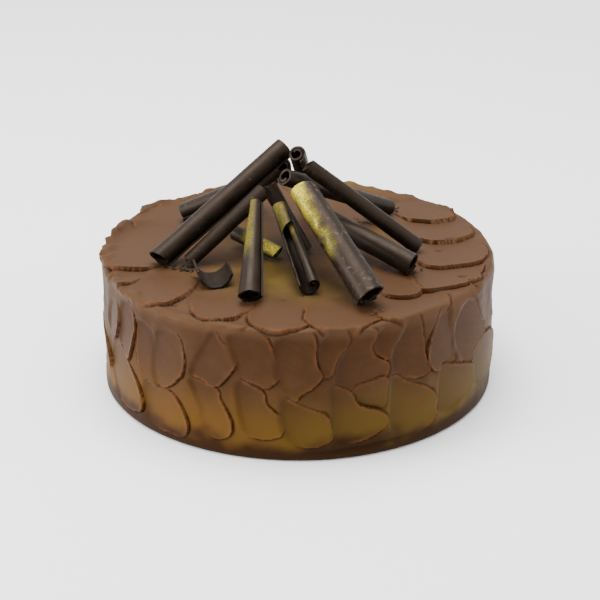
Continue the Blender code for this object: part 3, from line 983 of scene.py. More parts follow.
class KnifeWork:
    """Strokes laid over each other in their order, as heights over a plane of millimetres."""

    ROUNDING = 2
    FEATHER = 3.0
    SNAPS = 2
    WANDER = ((1.0, 8.0, 0.0), (0.45, 2.6, 40.0), (0.2, 1.1, 80.0))
    CRUMBLE = (0.5, 3.1, 20.0)
    RISE_POWER = 1.4
    SMEAR_STEP = 3.7

    def __init__(self, strokes: tuple[KnifeStroke, ...], profile: StrokeProfile, seed: int,
                 scale: float = 1.0, period: Optional[float] = None) -> None:
        """Round every outline by cutting its corners at a quarter and three quarters of each edge.

        Args:
            strokes: Strokes in the order in which they are laid.
            profile: Their heights and widths.
            seed: Seed of the unevenness.
            scale: Millimetres in one unit of the corners' first number.
            period: Distance after which the plane meets itself, if it does.
        """
        self.profile, self.period, self.noise = profile, period, Noise(seed)
        self.patches = []
        for stroke in strokes:
            outline = np.array(stroke.corners, float) * (scale, 1.0)
            for _ in range(self.ROUNDING):
                after = np.roll(outline, -1, axis=0)
                cut = np.stack((0.75 * outline + 0.25 * after, 0.25 * outline + 0.75 * after), 1)
                outline = cut.reshape(-1, 2)
            after = np.roll(outline, -1, axis=0)
            if np.sum(outline[:, 0] * after[:, 1] - after[:, 0] * outline[:, 1]) < 0.0:
                outline = outline[::-1]
            turn = math.radians(stroke.towards)
            self.patches.append((outline, np.array((math.cos(turn), math.sin(turn))), stroke.bold))

    def near(self, points: Array, outline: Array) -> tuple[Array, Array]:
        """Find the points close to an outline, moved by whole periods to meet it.

        Args:
            points: Plane places.
            outline: Corners of the outline.

        Returns:
            Numbers of the points, and their places.
        """
        low, high = outline.min(axis=0) - self.FEATHER, outline.max(axis=0) + self.FEATHER
        local = points.copy()
        if self.period is not None:
            middle, half = 0.5 * (low[0] + high[0]), 0.5 * self.period
            local[:, 0] = (local[:, 0] - middle + half) % self.period + middle - half
        inside = np.flatnonzero(((local > low) & (local < high)).all(axis=1))
        return inside, local[inside]

    def depth(self, places: Array, outline: Array, rough: Array) -> tuple[Array, Array]:
        """Signed distance to the nearest edge of an outline.

        Args:
            places: Plane places.
            outline: Corners, counter-clockwise.
            rough: Unevenness of the edge at each place.

        Returns:
            Distance, positive inside, and the outward unit vector of the nearest edge.
        """
        after = np.roll(outline, -1, axis=0)
        run = after - outline
        offset = places[:, None, :] - outline[None]
        share = np.clip((offset * run).sum(-1) / (run * run).sum(-1), 0.0, 1.0)
        away = np.hypot(*np.moveaxis(offset - share[..., None] * run, -1, 0))
        nearest = away.argmin(axis=1)
        straddles = (outline[:, 1] > places[:, None, 1]) != (after[:, 1] > places[:, None, 1])
        rise = np.where(np.abs(run[:, 1]) < 1e-9, 1e-9, run[:, 1])
        crossing = outline[:, 0] + run[:, 0] * offset[..., 1] / rise
        inside = (straddles & (places[:, None, 0] < crossing)).sum(axis=1) % 2 == 1
        normal = np.column_stack((run[:, 1], -run[:, 0])) / np.hypot(run[:, 0], run[:, 1])[:, None]
        distance = away[np.arange(len(places)), nearest]
        return np.where(inside, distance, -distance) + rough, normal[nearest]

    def unevenness(self, spots: Array) -> Array:
        """Wander of the edges at places in space, in millimetres."""
        return self.profile.wobble * self.noise.layered(spots, *self.WANDER)

    def snap(self, points: Array, spots: Array) -> Array:
        """Move the points that lie close to a raised edge right onto it, so that lips stay crisp.

        Args:
            points: Plane places.
            spots: The same places in space, for the noise.

        Returns:
            The moved places.
        """
        moved = points.copy()
        rough = self.unevenness(spots)
        for _ in range(self.SNAPS):
            move = np.zeros_like(points)
            for outline, towards, _bold in self.patches:
                near, local = self.near(moved, outline)
                depth, out = self.depth(local, outline, rough[near])
                raised = (out @ towards) > -0.1
                close = (np.abs(depth) < self.profile.reach) & raised
                move[near[depth >= self.profile.reach]] = 0.0
                move[near[close]] = out[close] * depth[close, None]
            moved = moved + move
        return moved

    def lay(self, points: Array, spots: Array, ground: Array) -> dict[str, Array]:
        """Lay every stroke over the ground.

        Each patch rises by a power law from its low side to its high one. Its raised edge carries a
        thin crest and drops at once into a groove, and its low edge blends in softly.

        Args:
            points: Plane places.
            spots: The same places in space, for the noise.
            ground: Height before the strokes.

        Returns:
            Height, masks for the painted highlight on the lips and the painted shade in the grooves and on
            the pressed sides, push of the lip, and places along and across the stroke.
        """
        shape = self.profile
        rough = self.unevenness(spots)
        crumble = self.noise.layered(spots, self.CRUMBLE, base=0.75)
        height, lip, hollow = ground.copy(), np.zeros(len(points)), np.zeros(len(points))
        push, smear = np.zeros_like(points), np.column_stack((points, np.zeros(len(points))))
        for number, (outline, towards, bold) in enumerate(self.patches):
            near, local = self.near(points, outline)
            depth, out = self.depth(local, outline, rough[near])
            raised = above(out @ towards, -0.35, 0.5)
            edge = shape.edge + (shape.soft - shape.edge) * (1.0 - raised)
            cover = smooth(depth / edge + 0.5 + 0.5 * raised)
            along, far = local @ towards, outline @ towards
            run = np.clip((along - far.min()) / (far.max() - far.min()), 0.0, 1.0)
            tile = shape.low + (shape.high - shape.low) * run**self.RISE_POWER
            crest = raised * bell(np.clip(depth, 0.0, None), shape.crest_width) * cover * crumble[near] * bold
            # The groove under a raised edge is cut into the height and also gets painted shade.
            under = raised * bell(depth + shape.groove_width, shape.groove_width) * (1.0 - cover) * bold
            height[near] += cover * (tile - height[near]) + shape.crest * crest - shape.groove * under
            # The lip mask marks where a highlight is painted on the crest.
            lip[near] = lip[near] * (1.0 - cover) + crest
            # The pressed side of each stroke gets painted shade, darkest at its low end.
            pressed_shade = shape.pressed_shade * (1.0 - run) ** 2 * cover
            hollow[near] = np.maximum(hollow[near] * (1.0 - cover) + pressed_shade, under)
            push[near] = push[near] * (1.0 - cover)[:, None] + crest[:, None] * out
            own = np.column_stack((along, local[:, 0] * towards[1] - local[:, 1] * towards[0],
                                   np.full(len(local), number * self.SMEAR_STEP)))
            smear[near] = np.where((cover > 0.5)[:, None], own, smear[near])
        return {"height": height, "lip": lip, "hollow": hollow, "push": push, "smear": smear * MM}


def tongue(x: float, y: float, heading: float, half_width: float, length: float) -> KnifeStroke:
    """A tongue-shaped stroke on the top: its far lip is an arc round the named place.

    Args:
        x: Middle of the far lip, in millimetres.
        y: Middle of the far lip, in millimetres.
        heading: Heading of the pull, from 0 for right to 90 for back.
        half_width: Half of its width.
        length: Length from lip to tail.

    Returns:
        The stroke.
    """
    turn = math.radians(heading)
    plan = ((-length, 0.7), (-length, -0.7), (-0.4 * length, -1.0), (-0.12 * length, -0.95), (0.0, -0.45),
            (0.0, 0.45), (-0.12 * length, 0.95), (-0.4 * length, 1.0))
    corners = []
    for along, across in plan:
        corners.append((x + math.cos(turn) * along - math.sin(turn) * across * half_width,
                        y + math.sin(turn) * along + math.cos(turn) * across * half_width))
    return KnifeStroke(tuple(corners), heading)


@dataclass(frozen=True)
class Spot:
    """A soft round spot on the top: plan place and reach in millimetres, and its strength."""

    x: float
    y: float
    reach: float
    strength: float = 1.0


def spotted(spots: tuple[Spot, ...], x: Array, y: Array) -> Array:
    """Add up the bell curves of soft spots.

    Args:
        spots: The spots.
        x: Plan places in metres.
        y: Plan places in metres.

    Returns:
        One value for each place.
    """
    total = np.zeros_like(x)
    for spot in spots:
        total += spot.strength * bell(np.hypot(x - spot.x * MM, y - spot.y * MM), spot.reach * MM)
    return total


@dataclass
class FrostedCake:
    """The cake: a round body under frosting that was worked with a palette knife.

    The top is a disc of concentric squares turned round, so that its cells stay even, and the side
    is a grid of rows and columns. Both are finer towards the front.
    """

    pile: CurlPile
    finish: FrostingFinish = FrostingFinish()
    radius: float = 104.0 * MM
    height: float = 71.0 * MM
    rim_round: float = 4.6 * MM
    foot_round: float = 2.5 * MM
    middle_reach: float = 44.0 * MM
    cells: int = 176
    side_rows: int = 78
    rim_rows: int = 9
    foot_rows: int = 3
    front_finer: float = 0.30
    rim_finer: float = 0.35
    band: float = 8.0 * MM
    rim_crumble: float = 2.8 * MM
    holes: tuple[Spot, ...] = (Spot(74, -2, 1.6), Spot(95, -29, 1.3), Spot(-7, -64, 1.2), Spot(81, 11, 2.0),
                               Spot(84, -37, 1.8), Spot(-61, -71, 1.3))
    hole_depth: float = 1.6 * MM
    hole_narrowed: float = 1.6
    # Painted shade on the frosting under and between the curls.
    painted_shade_spots: tuple[Spot, ...] = (Spot(-9, 2, 25, 0.75), Spot(12, -33, 15, 0.8), Spot(-12, -30, 10, 0.3),
                                    Spot(38, -12, 10, 0.35))
    gold_spots: tuple[Spot, ...] = (Spot(-26, -33, 20, 0.65), Spot(2, -40, 20, 0.75), Spot(-31, 21, 14, 0.7),
                                    Spot(30, 99, 22, 0.7), Spot(14, -62, 10, 0.4), Spot(48, 20, 12, 0.3))
    crack_middle: float = 20.0
    crack_reach: float = 17.0
    crack_height: float = 4.5
    crack_slope: float = 0.06
    crack_width: float = 1.3 * MM
    crack_depth: float = 1.1
    pit_angle: float = 43.0
    pit_height: float = 15.0
    rest_gap: float = 0.3 * MM
    rest_reach: float = 9.0 * MM
    dent_margin: float = 1.1 * MM
    past_mouth: float = 2.0 * MM
    seat_depth: float = 1.2 * MM
    scoop_middle: tuple[float, float] = (-42.5 * MM, -43.0 * MM)
    scoop_reach: tuple[float, float] = (12.0 * MM, 15.0 * MM)
    scoop_gap: float = 0.7 * MM
    top_profile: StrokeProfile = StrokeProfile(-1.1, 1.1, 0.40, 0.5, 7.0, 0.9)
    side_profile: StrokeProfile = StrokeProfile(-1.7, 0.6, 0.35, 0.55, 3.2, 0.5, 0.45)
    top_strokes: tuple[KnifeStroke, ...] = (
        tongue(82, 48, -28, 16, 30),
        tongue(46, 78, 58, 20, 40),
        tongue(10, 92, 82, 20, 42),
        tongue(-30, 88, 110, 20, 42),
        tongue(-66, 66, 152, 20, 40),
        KnifeStroke(((-91, 36), (-82, 52), (-69, 73), (-60, 69), (-60, 37), (-66, 14), (-86, 23)), 160),
        KnifeStroke(((-100, -25), (-74, -24), (-82, -42), (-92, -50), (-98, -45)), 240),
        KnifeStroke(((-98, 20), (-103, -5), (-100, -23), (-92, -26), (-82, -27), (-73, -25), (-62, -16),
                     (-66, 32), (-83, 40)), 255),
        KnifeStroke(((-82, -55), (-80, -39), (-71, -29), (-63, -33), (-51, -39), (-53, -53), (-58, -62),
                     (-63, -70), (-71, -71), (-78, -68)), 320),
        KnifeStroke(((-70, -76), (-60, -84), (-44, -95), (-24, -101), (-26, -90), (-46, -85),
                     (-60, -72)), 250, 0.4),
        KnifeStroke(((-53, -59), (-52, -80), (-47, -89), (-38, -90), (-32, -88), (-27, -83), (-21, -73),
                     (-25, -62), (-42, -52)), 275),
        KnifeStroke(((-21, -72), (-25, -85), (-24, -96), (-13, -103), (1, -101), (6, -96), (4, -71),
                     (1, -59), (-11, -59)), 260),
        KnifeStroke(((4, -71), (4, -86), (6, -97), (13, -103), (25, -103), (32, -97), (40, -87), (42, -84),
                     (38, -76), (32, -66), (13, -62)), 260),
        KnifeStroke(((41, -88), (50, -90), (60, -87), (70, -80), (77, -68), (73, -52), (50, -48),
                     (36, -67)), 290),
        KnifeStroke(((58, -28), (59, -48), (64, -56), (72, -53), (87, -46), (95, -34), (95, -14),
                     (66, -12)), 290),
        KnifeStroke(((37, -44), (44, -62), (57, -63), (63, -55), (59, -44), (58, -25), (47, -18)), 300),
        KnifeStroke(((58, -5), (63, -20), (72, -26), (82, -25), (93, -20), (100, -5), (98, 9), (81, 18),
                     (58, 16)), 290),
        KnifeStroke(((57, 25), (66, 11), (78, 9), (86, 11), (95, 20), (93, 32), (85, 45), (60, 47)), 290),
        KnifeStroke(((50, 60), (56, 43), (69, 39), (78, 38), (86, 43), (83, 55), (71, 71), (52, 73)), 290),
    )
    upper_strokes: tuple[KnifeStroke, ...] = (
        KnifeStroke(((-69, 58), (-62, 62), (-62, 48), (-64, 40), (-68, 38), (-72, 47)), 330),
        KnifeStroke(((-60, 64), (-54, 67), (-52, 54), (-54, 43), (-56, 33), (-61, 38),
                     (-62, 50)), 330, 1.5),
        KnifeStroke(((-51, 60), (-45, 60), (-43, 47), (-42, 30), (-44, 27), (-49, 30), (-51, 36),
                     (-52, 48)), 250),
        KnifeStroke(((-43, 60), (-35, 62), (-33, 52), (-33, 42), (-36, 34), (-40, 29), (-44, 31), (-45, 39),
                     (-44, 51)), 330),
        KnifeStroke(((-24, 69), (-21, 61), (-19, 59), (-16, 58), (-17, 51), (-20, 43), (-23, 37), (-27, 40),
                     (-31, 41), (-30, 47), (-27, 56)), 325),
        KnifeStroke(((-21, 68), (-9, 69), (-7, 62), (-6, 55), (-4, 49), (-8, 39), (-12, 43), (-16, 45),
                     (-17, 55)), 325),
        KnifeStroke(((-7, 67), (0, 70), (5, 69), (5, 60), (5, 52), (7, 47), (4, 41), (1, 38), (-1, 32),
                     (-6, 47)), 330),
        KnifeStroke(((6, 69), (14, 69), (14, 63), (11, 58), (10, 52), (9, 46), (7, 46), (5, 54)), 320, 0.7),
        KnifeStroke(((16, 63), (19, 70), (22, 69), (22, 65), (20, 61), (21, 54), (26, 50), (25, 43),
                     (20, 40), (15, 38), (10, 41), (10, 50), (12, 58)), 10),
        KnifeStroke(((22, 70), (31, 69), (30, 63), (27, 58), (26, 51), (23, 54), (21, 58)), 320, 0.7),
        KnifeStroke(((32, 70), (36, 71), (37, 57), (37, 48), (40, 39), (34, 37), (27, 43), (26, 54),
                     (29, 62)), 340),
        KnifeStroke(((44, 70), (49, 69), (47, 62), (50, 53), (49, 46), (52, 40), (47, 38), (43, 36),
                     (40, 39), (38, 47), (40, 59)), 200, 0.8),
        KnifeStroke(((57, 68), (61, 63), (63, 55), (69, 43), (60, 36), (58, 30), (51, 40), (49, 55),
                     (52, 65)), 340),
    )
    lower_strokes: tuple[KnifeStroke, ...] = (
        KnifeStroke(((-67, 37), (-61, 39), (-56, 31), (-51, 22), (-49, 11), (-52, 7), (-62, 6), (-69, 13),
                     (-70, 26)), 350, 1.5),
        KnifeStroke(((-49, 30), (-43, 26), (-38, 28), (-34, 21), (-32, 12), (-33, 5), (-38, 4), (-46, 5),
                     (-50, 12)), 350),
        KnifeStroke(((-32, 39), (-27, 38), (-22, 36), (-22, 32), (-20, 26), (-18, 18), (-19, 11), (-23, 9),
                     (-27, 11), (-28, 24), (-30, 32)), 355),
        KnifeStroke(((-17, 44), (-13, 40), (-9, 38), (-9, 32), (-7, 28), (-4, 23), (-4, 15), (-7, 13),
                     (-11, 12), (-15, 14), (-17, 31)), 350),
        KnifeStroke(((-5, 37), (-1, 32), (4, 28), (8, 26), (9, 19), (10, 12), (7, 9), (1, 8), (-3, 11),
                     (-5, 22)), 350),
        KnifeStroke(((15, 39), (20, 41), (25, 44), (25, 35), (25, 25), (23, 23), (20, 25),
                     (16, 29)), 60, 0.6),
        KnifeStroke(((8, 41), (13, 39), (15, 35), (16, 29), (20, 26), (24, 24), (26, 18), (23, 13),
                     (19, 10), (14, 8), (10, 10), (9, 19), (9, 31)), 10),
        KnifeStroke(((27, 43), (32, 36), (38, 31), (42, 24), (43, 17), (41, 9), (36, 6), (28, 9), (26, 16),
                     (26, 35)), 10),
        KnifeStroke(((43, 41), (50, 35), (60, 30), (63, 19), (59, 14), (54, 13), (49, 9), (42, 14),
                     (43, 23)), 40),
        KnifeStroke(((60, 34), (67, 40), (84, 32), (86, 11), (71, 8), (63, 13), (61, 25)), 20),
    )
    back_upper: int = 14
    back_lower: int = 13
    back_from: float = 78.0
    back_to: float = 286.0

    TOP_SEED = 31
    SIDE_SEED = 47
    GOLD_SEED = 63
    TINT_SEED = 71
    RIM_SEED = 83
    TOP_CREASE = 70.0

    def side_strokes(self) -> tuple[KnifeStroke, ...]:
        """Strokes of the whole side: the back repeats the front's shapes in another order.

        Returns:
            All the strokes, in the order in which they are laid.
        """
        around = []
        for front, count, stride in ((self.upper_strokes, self.back_upper, 4),
                                     (self.lower_strokes, self.back_lower, 3)):
            step = (self.back_to - self.back_from) / count
            for k in range(count):
                shape = front[(stride * k + 2) % len(front)]
                angle = self.back_from + (k + 0.5) * step + 1.6 * math.sin(2.3 * k)
                around.append(shape.moved(angle, 1.5 * math.sin(1.7 * k)))
            around.extend(front)
        return tuple(around)

    def top_field(self, x: Array, y: Array) -> dict[str, Array]:
        """Frosting on the top at plan points: laid strokes, level under each curl's foot.

        Args:
            x: Plan places.
            y: Plan places.

        Returns:
            Places, height, sideways push of the lips, and masks for the painted lip highlight, the painted
            shade in hollows and between the curls, and gold dust.
        """
        work = KnifeWork(self.top_strokes, self.top_profile, self.TOP_SEED)
        flat = np.column_stack((x, y)) / MM
        spots = np.column_stack((flat, np.zeros_like(x)))
        away = np.hypot(x, y)
        middle = np.exp(-((away / self.middle_reach) ** 6))
        free = (away > 0.6 * self.middle_reach) & (away < self.radius - self.rim_round - 0.5 * MM)
        flat = np.where(free[:, None], work.snap(flat, spots), flat)
        ground = work.noise.layered(spots, (0.5, 14.0, 9.0), (0.25, 5.0, 3.0), base=-0.4)
        laid = work.lay(flat, spots, ground)
        height = self.height + (laid["height"] * (1.0 - middle) + middle * (0.25 * ground - 0.35)) * MM
        height = height + self.crumbly(x, y, spots) * self.rim_crumble
        for hole in self.holes:
            pit = bell(np.hypot(flat[:, 0] - hole.x, self.hole_narrowed * (flat[:, 1] - hole.y)), hole.reach)
            height = height - self.hole_depth * pit
            # Each hole is dug and also gets painted shade.
            laid["hollow"] = np.maximum(laid["hollow"], pit)
        x, y = flat[:, 0] * MM, flat[:, 1] * MM
        height = self.settle(x, y, height)
        shown = 1.0 - middle
        # Painted shade spots between the curls are added to the shade mask.
        return {"x": x, "y": y, "height": height, "push": laid["push"] * shown[:, None] * 0.5 * MM,
                "lip": laid["lip"] * shown, "hollow": laid["hollow"] * shown + spotted(self.painted_shade_spots, x, y),
                "smear": laid["smear"], "gold": self.gold(x, y)}

    def crumbly(self, x: Array, y: Array, spots: Array) -> Array:
        """Roughness of the rim, strongest round the left and back.

        Args:
            x: Plan places.
            y: Plan places.
            spots: Places for the noise.

        Returns:
            Signed values that seldom pass -1 and 1.
        """
        angle = np.degrees(np.arctan2(x, -y))
        torn = below(angle, -38.0, 22.0) * (1.0 - 0.5 * below(angle, -120.0, 30.0))
        torn = torn + 0.4 * above(angle, 105.0, 30.0)
        amount = (0.12 + 0.88 * torn) * bell(np.hypot(x, y) - self.radius + 2.5 * MM, 4.0 * MM)
        return amount * Noise(self.RIM_SEED).layered(spots, (0.85, 7.0, 0.0), (0.45, 2.8, 30.0), base=0.25)

    def gold(self, x: Array, y: Array) -> Array:
        """Gold dust that fell on the top between the curls and at the back edge.

        Args:
            x: Plan places.
            y: Plan places.

        Returns:
            Shares from 0 to 1.
        """
        spots = np.column_stack((x, y, np.zeros_like(x))) / MM
        thick = Noise(self.GOLD_SEED).layered(spots, (0.6, 7.0, 0.0), base=0.8)
        return np.clip(spotted(self.gold_spots, x, y) * thick, 0.0, 1.0)

    def settle(self, x: Array, y: Array, height: Array) -> Array:
        """Level the frosting under each foot and press every curl's underside into it.

        Args:
            x: Plan places.
            y: Plan places.
            height: Heights so far.

        Returns:
            Heights that touch no curl.
        """
        rolled = [curl for curl in self.pile.curls if curl.end is RollEnd.BROKEN]
        for curl in rolled:
            rest_x, rest_y, rest_z = curl.rest_place()
            near = bell(np.hypot(x - rest_x, y - rest_y), self.rest_reach)
            height = height + near * (rest_z - self.rest_gap - height)
        for curl in rolled:
            under = curl.underside(x, y, self.dent_margin, self.past_mouth, self.seat_depth,
                                   2.0 * self.height)
            height = np.minimum(height, under)
        scoop = next(curl for curl in self.pile.curls if curl.end is RollEnd.TONGUE)
        from_x = (x - self.scoop_middle[0]) / self.scoop_reach[0]
        from_y = (y - self.scoop_middle[1]) / self.scoop_reach[1]
        near = np.exp(-(np.hypot(from_x, from_y) ** 6))
        floor = (scoop.foot[2] - scoop.foot_radius) * MM - self.scoop_gap
        return height + near * (floor - height)

    def finer(self, angle: Array) -> Array:
        """Turn even angles from the front so that they crowd there: a - k sin(a)."""
        return angle - self.front_finer * np.sin(angle)

    def disc(self) -> tuple[Array, Array, Array]:
        """Grid over a disc of radius 1: each concentric square of a grid becomes a circle.

        Returns:
            Points, quads, and the vertex numbers round the rim, counter-clockwise from the front left.
        """
        count = self.cells + 1
        line = np.linspace(-1.0, 1.0, count)
        b, a = np.meshgrid(line, line, indexing="ij")
        a, b = a.ravel(), b.ravel()
        wide = np.abs(a) > np.abs(b)
        radius = np.where(wide, a, b)
        safe_a = np.where(np.abs(a) < 1e-9, 1.0, a)
        safe_b = np.where(np.abs(b) < 1e-9, 1.0, b)
        angle = np.where(wide, 0.25 * math.pi * b / safe_a, 0.5 * math.pi - 0.25 * math.pi * a / safe_b)
        front = np.arctan2(radius * np.cos(angle), -radius * np.sin(angle))
        away = np.abs(radius)
        away = away * (1.0 + self.rim_finer - self.rim_finer * away)
        crowded = self.finer(front)
        points = np.column_stack((away * np.sin(crowded), -away * np.cos(crowded)))
        k = np.arange(self.cells)
        top = self.cells
        rim = np.concatenate((k, k * count + top, top * count + (top - k), (top - k) * count))
        return points, grid_faces(count, count, False), rim

    def build(self) -> Piece:
        """Join the disc of the top, the rounded rim and the side into one closed mesh.

        Returns:
            The frosted cake.
        """
        disc, disc_quads, rim = self.disc()
        inner_radius = self.radius - self.rim_round
        top = self.top_field(disc[:, 0] * inner_radius, disc[:, 1] * inner_radius)
        top_points = np.column_stack((top["x"], top["y"], top["height"]))
        top_points[:, :2] += top["push"]
        side = self.side_points(np.arctan2(disc[rim, 0], -disc[rim, 1]))
        columns = len(rim)
        offset = len(top_points)
        rows = side["rows"]
        base = offset + len(side["points"])
        points = np.vstack((top_points, side["points"], [[0.0, 0.0, 0.0]]))
        side_quads = offset + grid_faces(rows, columns, True)
        first = offset + np.arange(columns)
        join = np.column_stack((rim, np.roll(rim, -1), np.roll(first, -1), first))
        last = offset + (rows - 1) * columns + np.arange(columns)
        under = np.column_stack((last, np.roll(last, -1), np.full(columns, base)))
        quads = np.vstack((disc_quads, join[:, ::-1], side_quads[:, ::-1]))
        piece = add_object("cake_frosting", points, quads, under[:, ::-1])
        for name in ("lip", "hollow", "gold"):
            add_layer(piece, name, np.clip(np.concatenate((top[name], side[name], [0.0])), 0.0, 1.0))
        for name, values in self.tints(points).items():
            add_layer(piece, name, values)
        add_layer(piece, "smear", np.vstack((top["smear"], side["smear"], [[0.0, 0.0, 0.0]])))
        return piece

    def tints(self, points: Array) -> dict[str, Array]:
        """Masks for the painted light on the top, the golden lower part (gold dust plus a painted reflection
        of the gold board), its olive side and the dark foot.

        Args:
            points: Vertices of the cake.

        Returns:
            The masks by name.
        """
        flat = points / MM
        high = flat[:, 2]
        uneven = Noise(self.TINT_SEED).layered(flat, (5.0, 16.0, 0.0), (2.0, 5.0, 0.0), base=high)
        angle = np.degrees(np.arctan2(points[:, 0], -points[:, 1]))
        return {
            # Low gold: gold dust plus a painted reflection of the gold board, rising and falling unevenly.
            "low": below(uneven, 48.0, 34.0),
            "olive": above(angle, -35.0, 55.0) * (1.0 - above(angle, 120.0, 55.0)),
            "foot": below(uneven, 13.5, 8.5),
            # Painted light on the top surface.
            "painted_top_light": above(high, 64.0, 5.0),
        }

    def side_line(self) -> tuple[Array, Array]:
        """Rows from the rounded rim down the side to the underside.

        Returns:
            Height of each row, and how far it lies inside the radius.
        """
        rim_turn = np.linspace(0.5 * math.pi, 0.0, self.rim_rows + 1)[1:]
        foot_turn = np.linspace(0.0, 0.5 * math.pi, self.foot_rows + 1)[1:]
        straight = np.linspace(self.height - self.rim_round, self.foot_round, self.side_rows + 1)[1:]
        heights = np.concatenate((self.height - self.rim_round * (1.0 - np.sin(rim_turn)), straight,
                                  self.foot_round * (1.0 - np.sin(foot_turn))))
        insets = np.concatenate((self.rim_round * (1.0 - np.cos(rim_turn)), np.zeros(self.side_rows),
                                 self.foot_round * (1.0 - np.cos(foot_turn))))
        return heights, insets

    def flaws(self, degrees: Array, z: Array) -> tuple[Array, Array]:
        """Find the crack low on the side and the pit beside it.

        Args:
            degrees: Angles from the front.
            z: Heights in metres.

        Returns:
            A mask of the crack and one of the pit.
        """
        line = (self.crack_height + self.crack_slope * degrees) * MM
        crack = bell(degrees - self.crack_middle, self.crack_reach) * bell(z - line, self.crack_width)
        return crack, bell(np.hypot((degrees - self.pit_angle) * 1.8, z / MM - self.pit_height), 1.0)

    def side_points(self, even: Array) -> dict[str, Array]:
        """Rows of points from the rim down the side to the underside.

        Args:
            even: Angles of the columns at the rim, from the front, counter-clockwise.

        Returns:
            Points row by row with their masks and the number of rows.
        """
        heights, insets = self.side_line()
        shoulder = self.height - self.rim_round
        z = np.repeat(heights, len(even))
        inset = np.repeat(insets, len(even))
        angle = np.tile(even, len(heights))
        per_degree = math.radians(1.0) * self.radius / MM
        work = KnifeWork(self.side_strokes(), self.side_profile, self.SIDE_SEED, per_degree,
                         360.0 * per_degree)
        flat = np.column_stack((angle * self.radius / MM, z / MM))
        spots = np.column_stack((np.sin(angle) * self.radius, -np.cos(angle) * self.radius, z)) / MM
        on_side = (z > self.foot_round + 0.5 * MM) & (z < shoulder)
        flat = np.where(on_side[:, None], work.snap(flat, spots), flat)
        tall = spots * (1.0, 1.0, 0.35)
        ground = work.noise.layered(tall, (0.7, 9.0, 0.0), base=-0.5)
        ground = work.noise.layered(spots, (0.25, 5.0, 7.0), base=ground)
        laid = work.lay(flat, spots, ground)
        fade = below(z, self.height, 2.6 * MM) * smooth(z / self.foot_round)
        band = below(z, self.band, 3.0 * MM)
        relief = laid["height"] * (1.0 - 0.8 * band) - 0.3 * band
        push = laid["push"] * (fade * 0.35 * MM)[:, None]
        angle = flat[:, 0] * MM / self.radius + push[:, 0] / self.radius
        z = flat[:, 1] * MM + push[:, 1]
        base_x, base_y = np.sin(angle), -np.cos(angle)
        crack, pit = self.flaws(np.degrees(angle), z)
        # Painted shade in the crack and the pit.
        laid["hollow"] = np.maximum(laid["hollow"], np.clip(crack + pit, 0.0, 1.0))
        relief = relief - self.crack_depth * crack - pit
        radius = self.radius - inset + relief * fade * MM
        lip, hollow = laid["lip"] * fade, laid["hollow"] * fade
        gold, smear = np.zeros_like(z), laid["smear"]
        rim = slice(0, self.rim_rows * len(even))
        over = self.radius - inset[rim]
        on_top = self.top_field(base_x[rim] * over, base_y[rim] * over)
        up = above(z[rim], shoulder, 0.7 * self.rim_round)
        z[rim] += (on_top["height"] - self.height) * up
        radius[rim] += (on_top["push"][:, 0] * base_x[rim] + on_top["push"][:, 1] * base_y[rim]) * up * 2.0
        rough = self.crumbly(base_x[rim] * over, base_y[rim] * over, spots[rim] + 60.0)
        radius[rim] += rough * self.rim_crumble * up
        lip[rim] = np.maximum(lip[rim], on_top["lip"] * up)
        # Painted shade in the pits of the crumbly rim.
        pit_shade = np.clip(-2.0 * rough - 0.1, 0.0, 0.8)
        hollow[rim] = np.maximum(hollow[rim], np.maximum(on_top["hollow"], pit_shade) * up)
        gold[rim] = on_top["gold"] * up
        points = np.column_stack((base_x * radius, base_y * radius, z))
        return {"points": points, "lip": lip, "hollow": hollow, "gold": gold, "smear": smear,
                "rows": len(heights)}

    def dress(self) -> Piece:
        """Build the frosted cake in place of its solid and give it its finish.

        Returns:
            The finished piece.
        """
        piece = self.build()
        piece.data.materials.append(self.finish.make())
        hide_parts("cake")
        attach(piece, "root")
        mark_sharp(piece, self.TOP_CREASE)
        LOG.info("%s: %d faces", piece.name, len(piece.data.polygons))
        return piece


@dataclass(frozen=True)
class CrumbPatch:
    """A spot on the top where crumbs lie: plan place and reach in millimetres, count and size."""

    x: float
    y: float
    reach_x: float
    reach_y: float
    count: int
    size: float


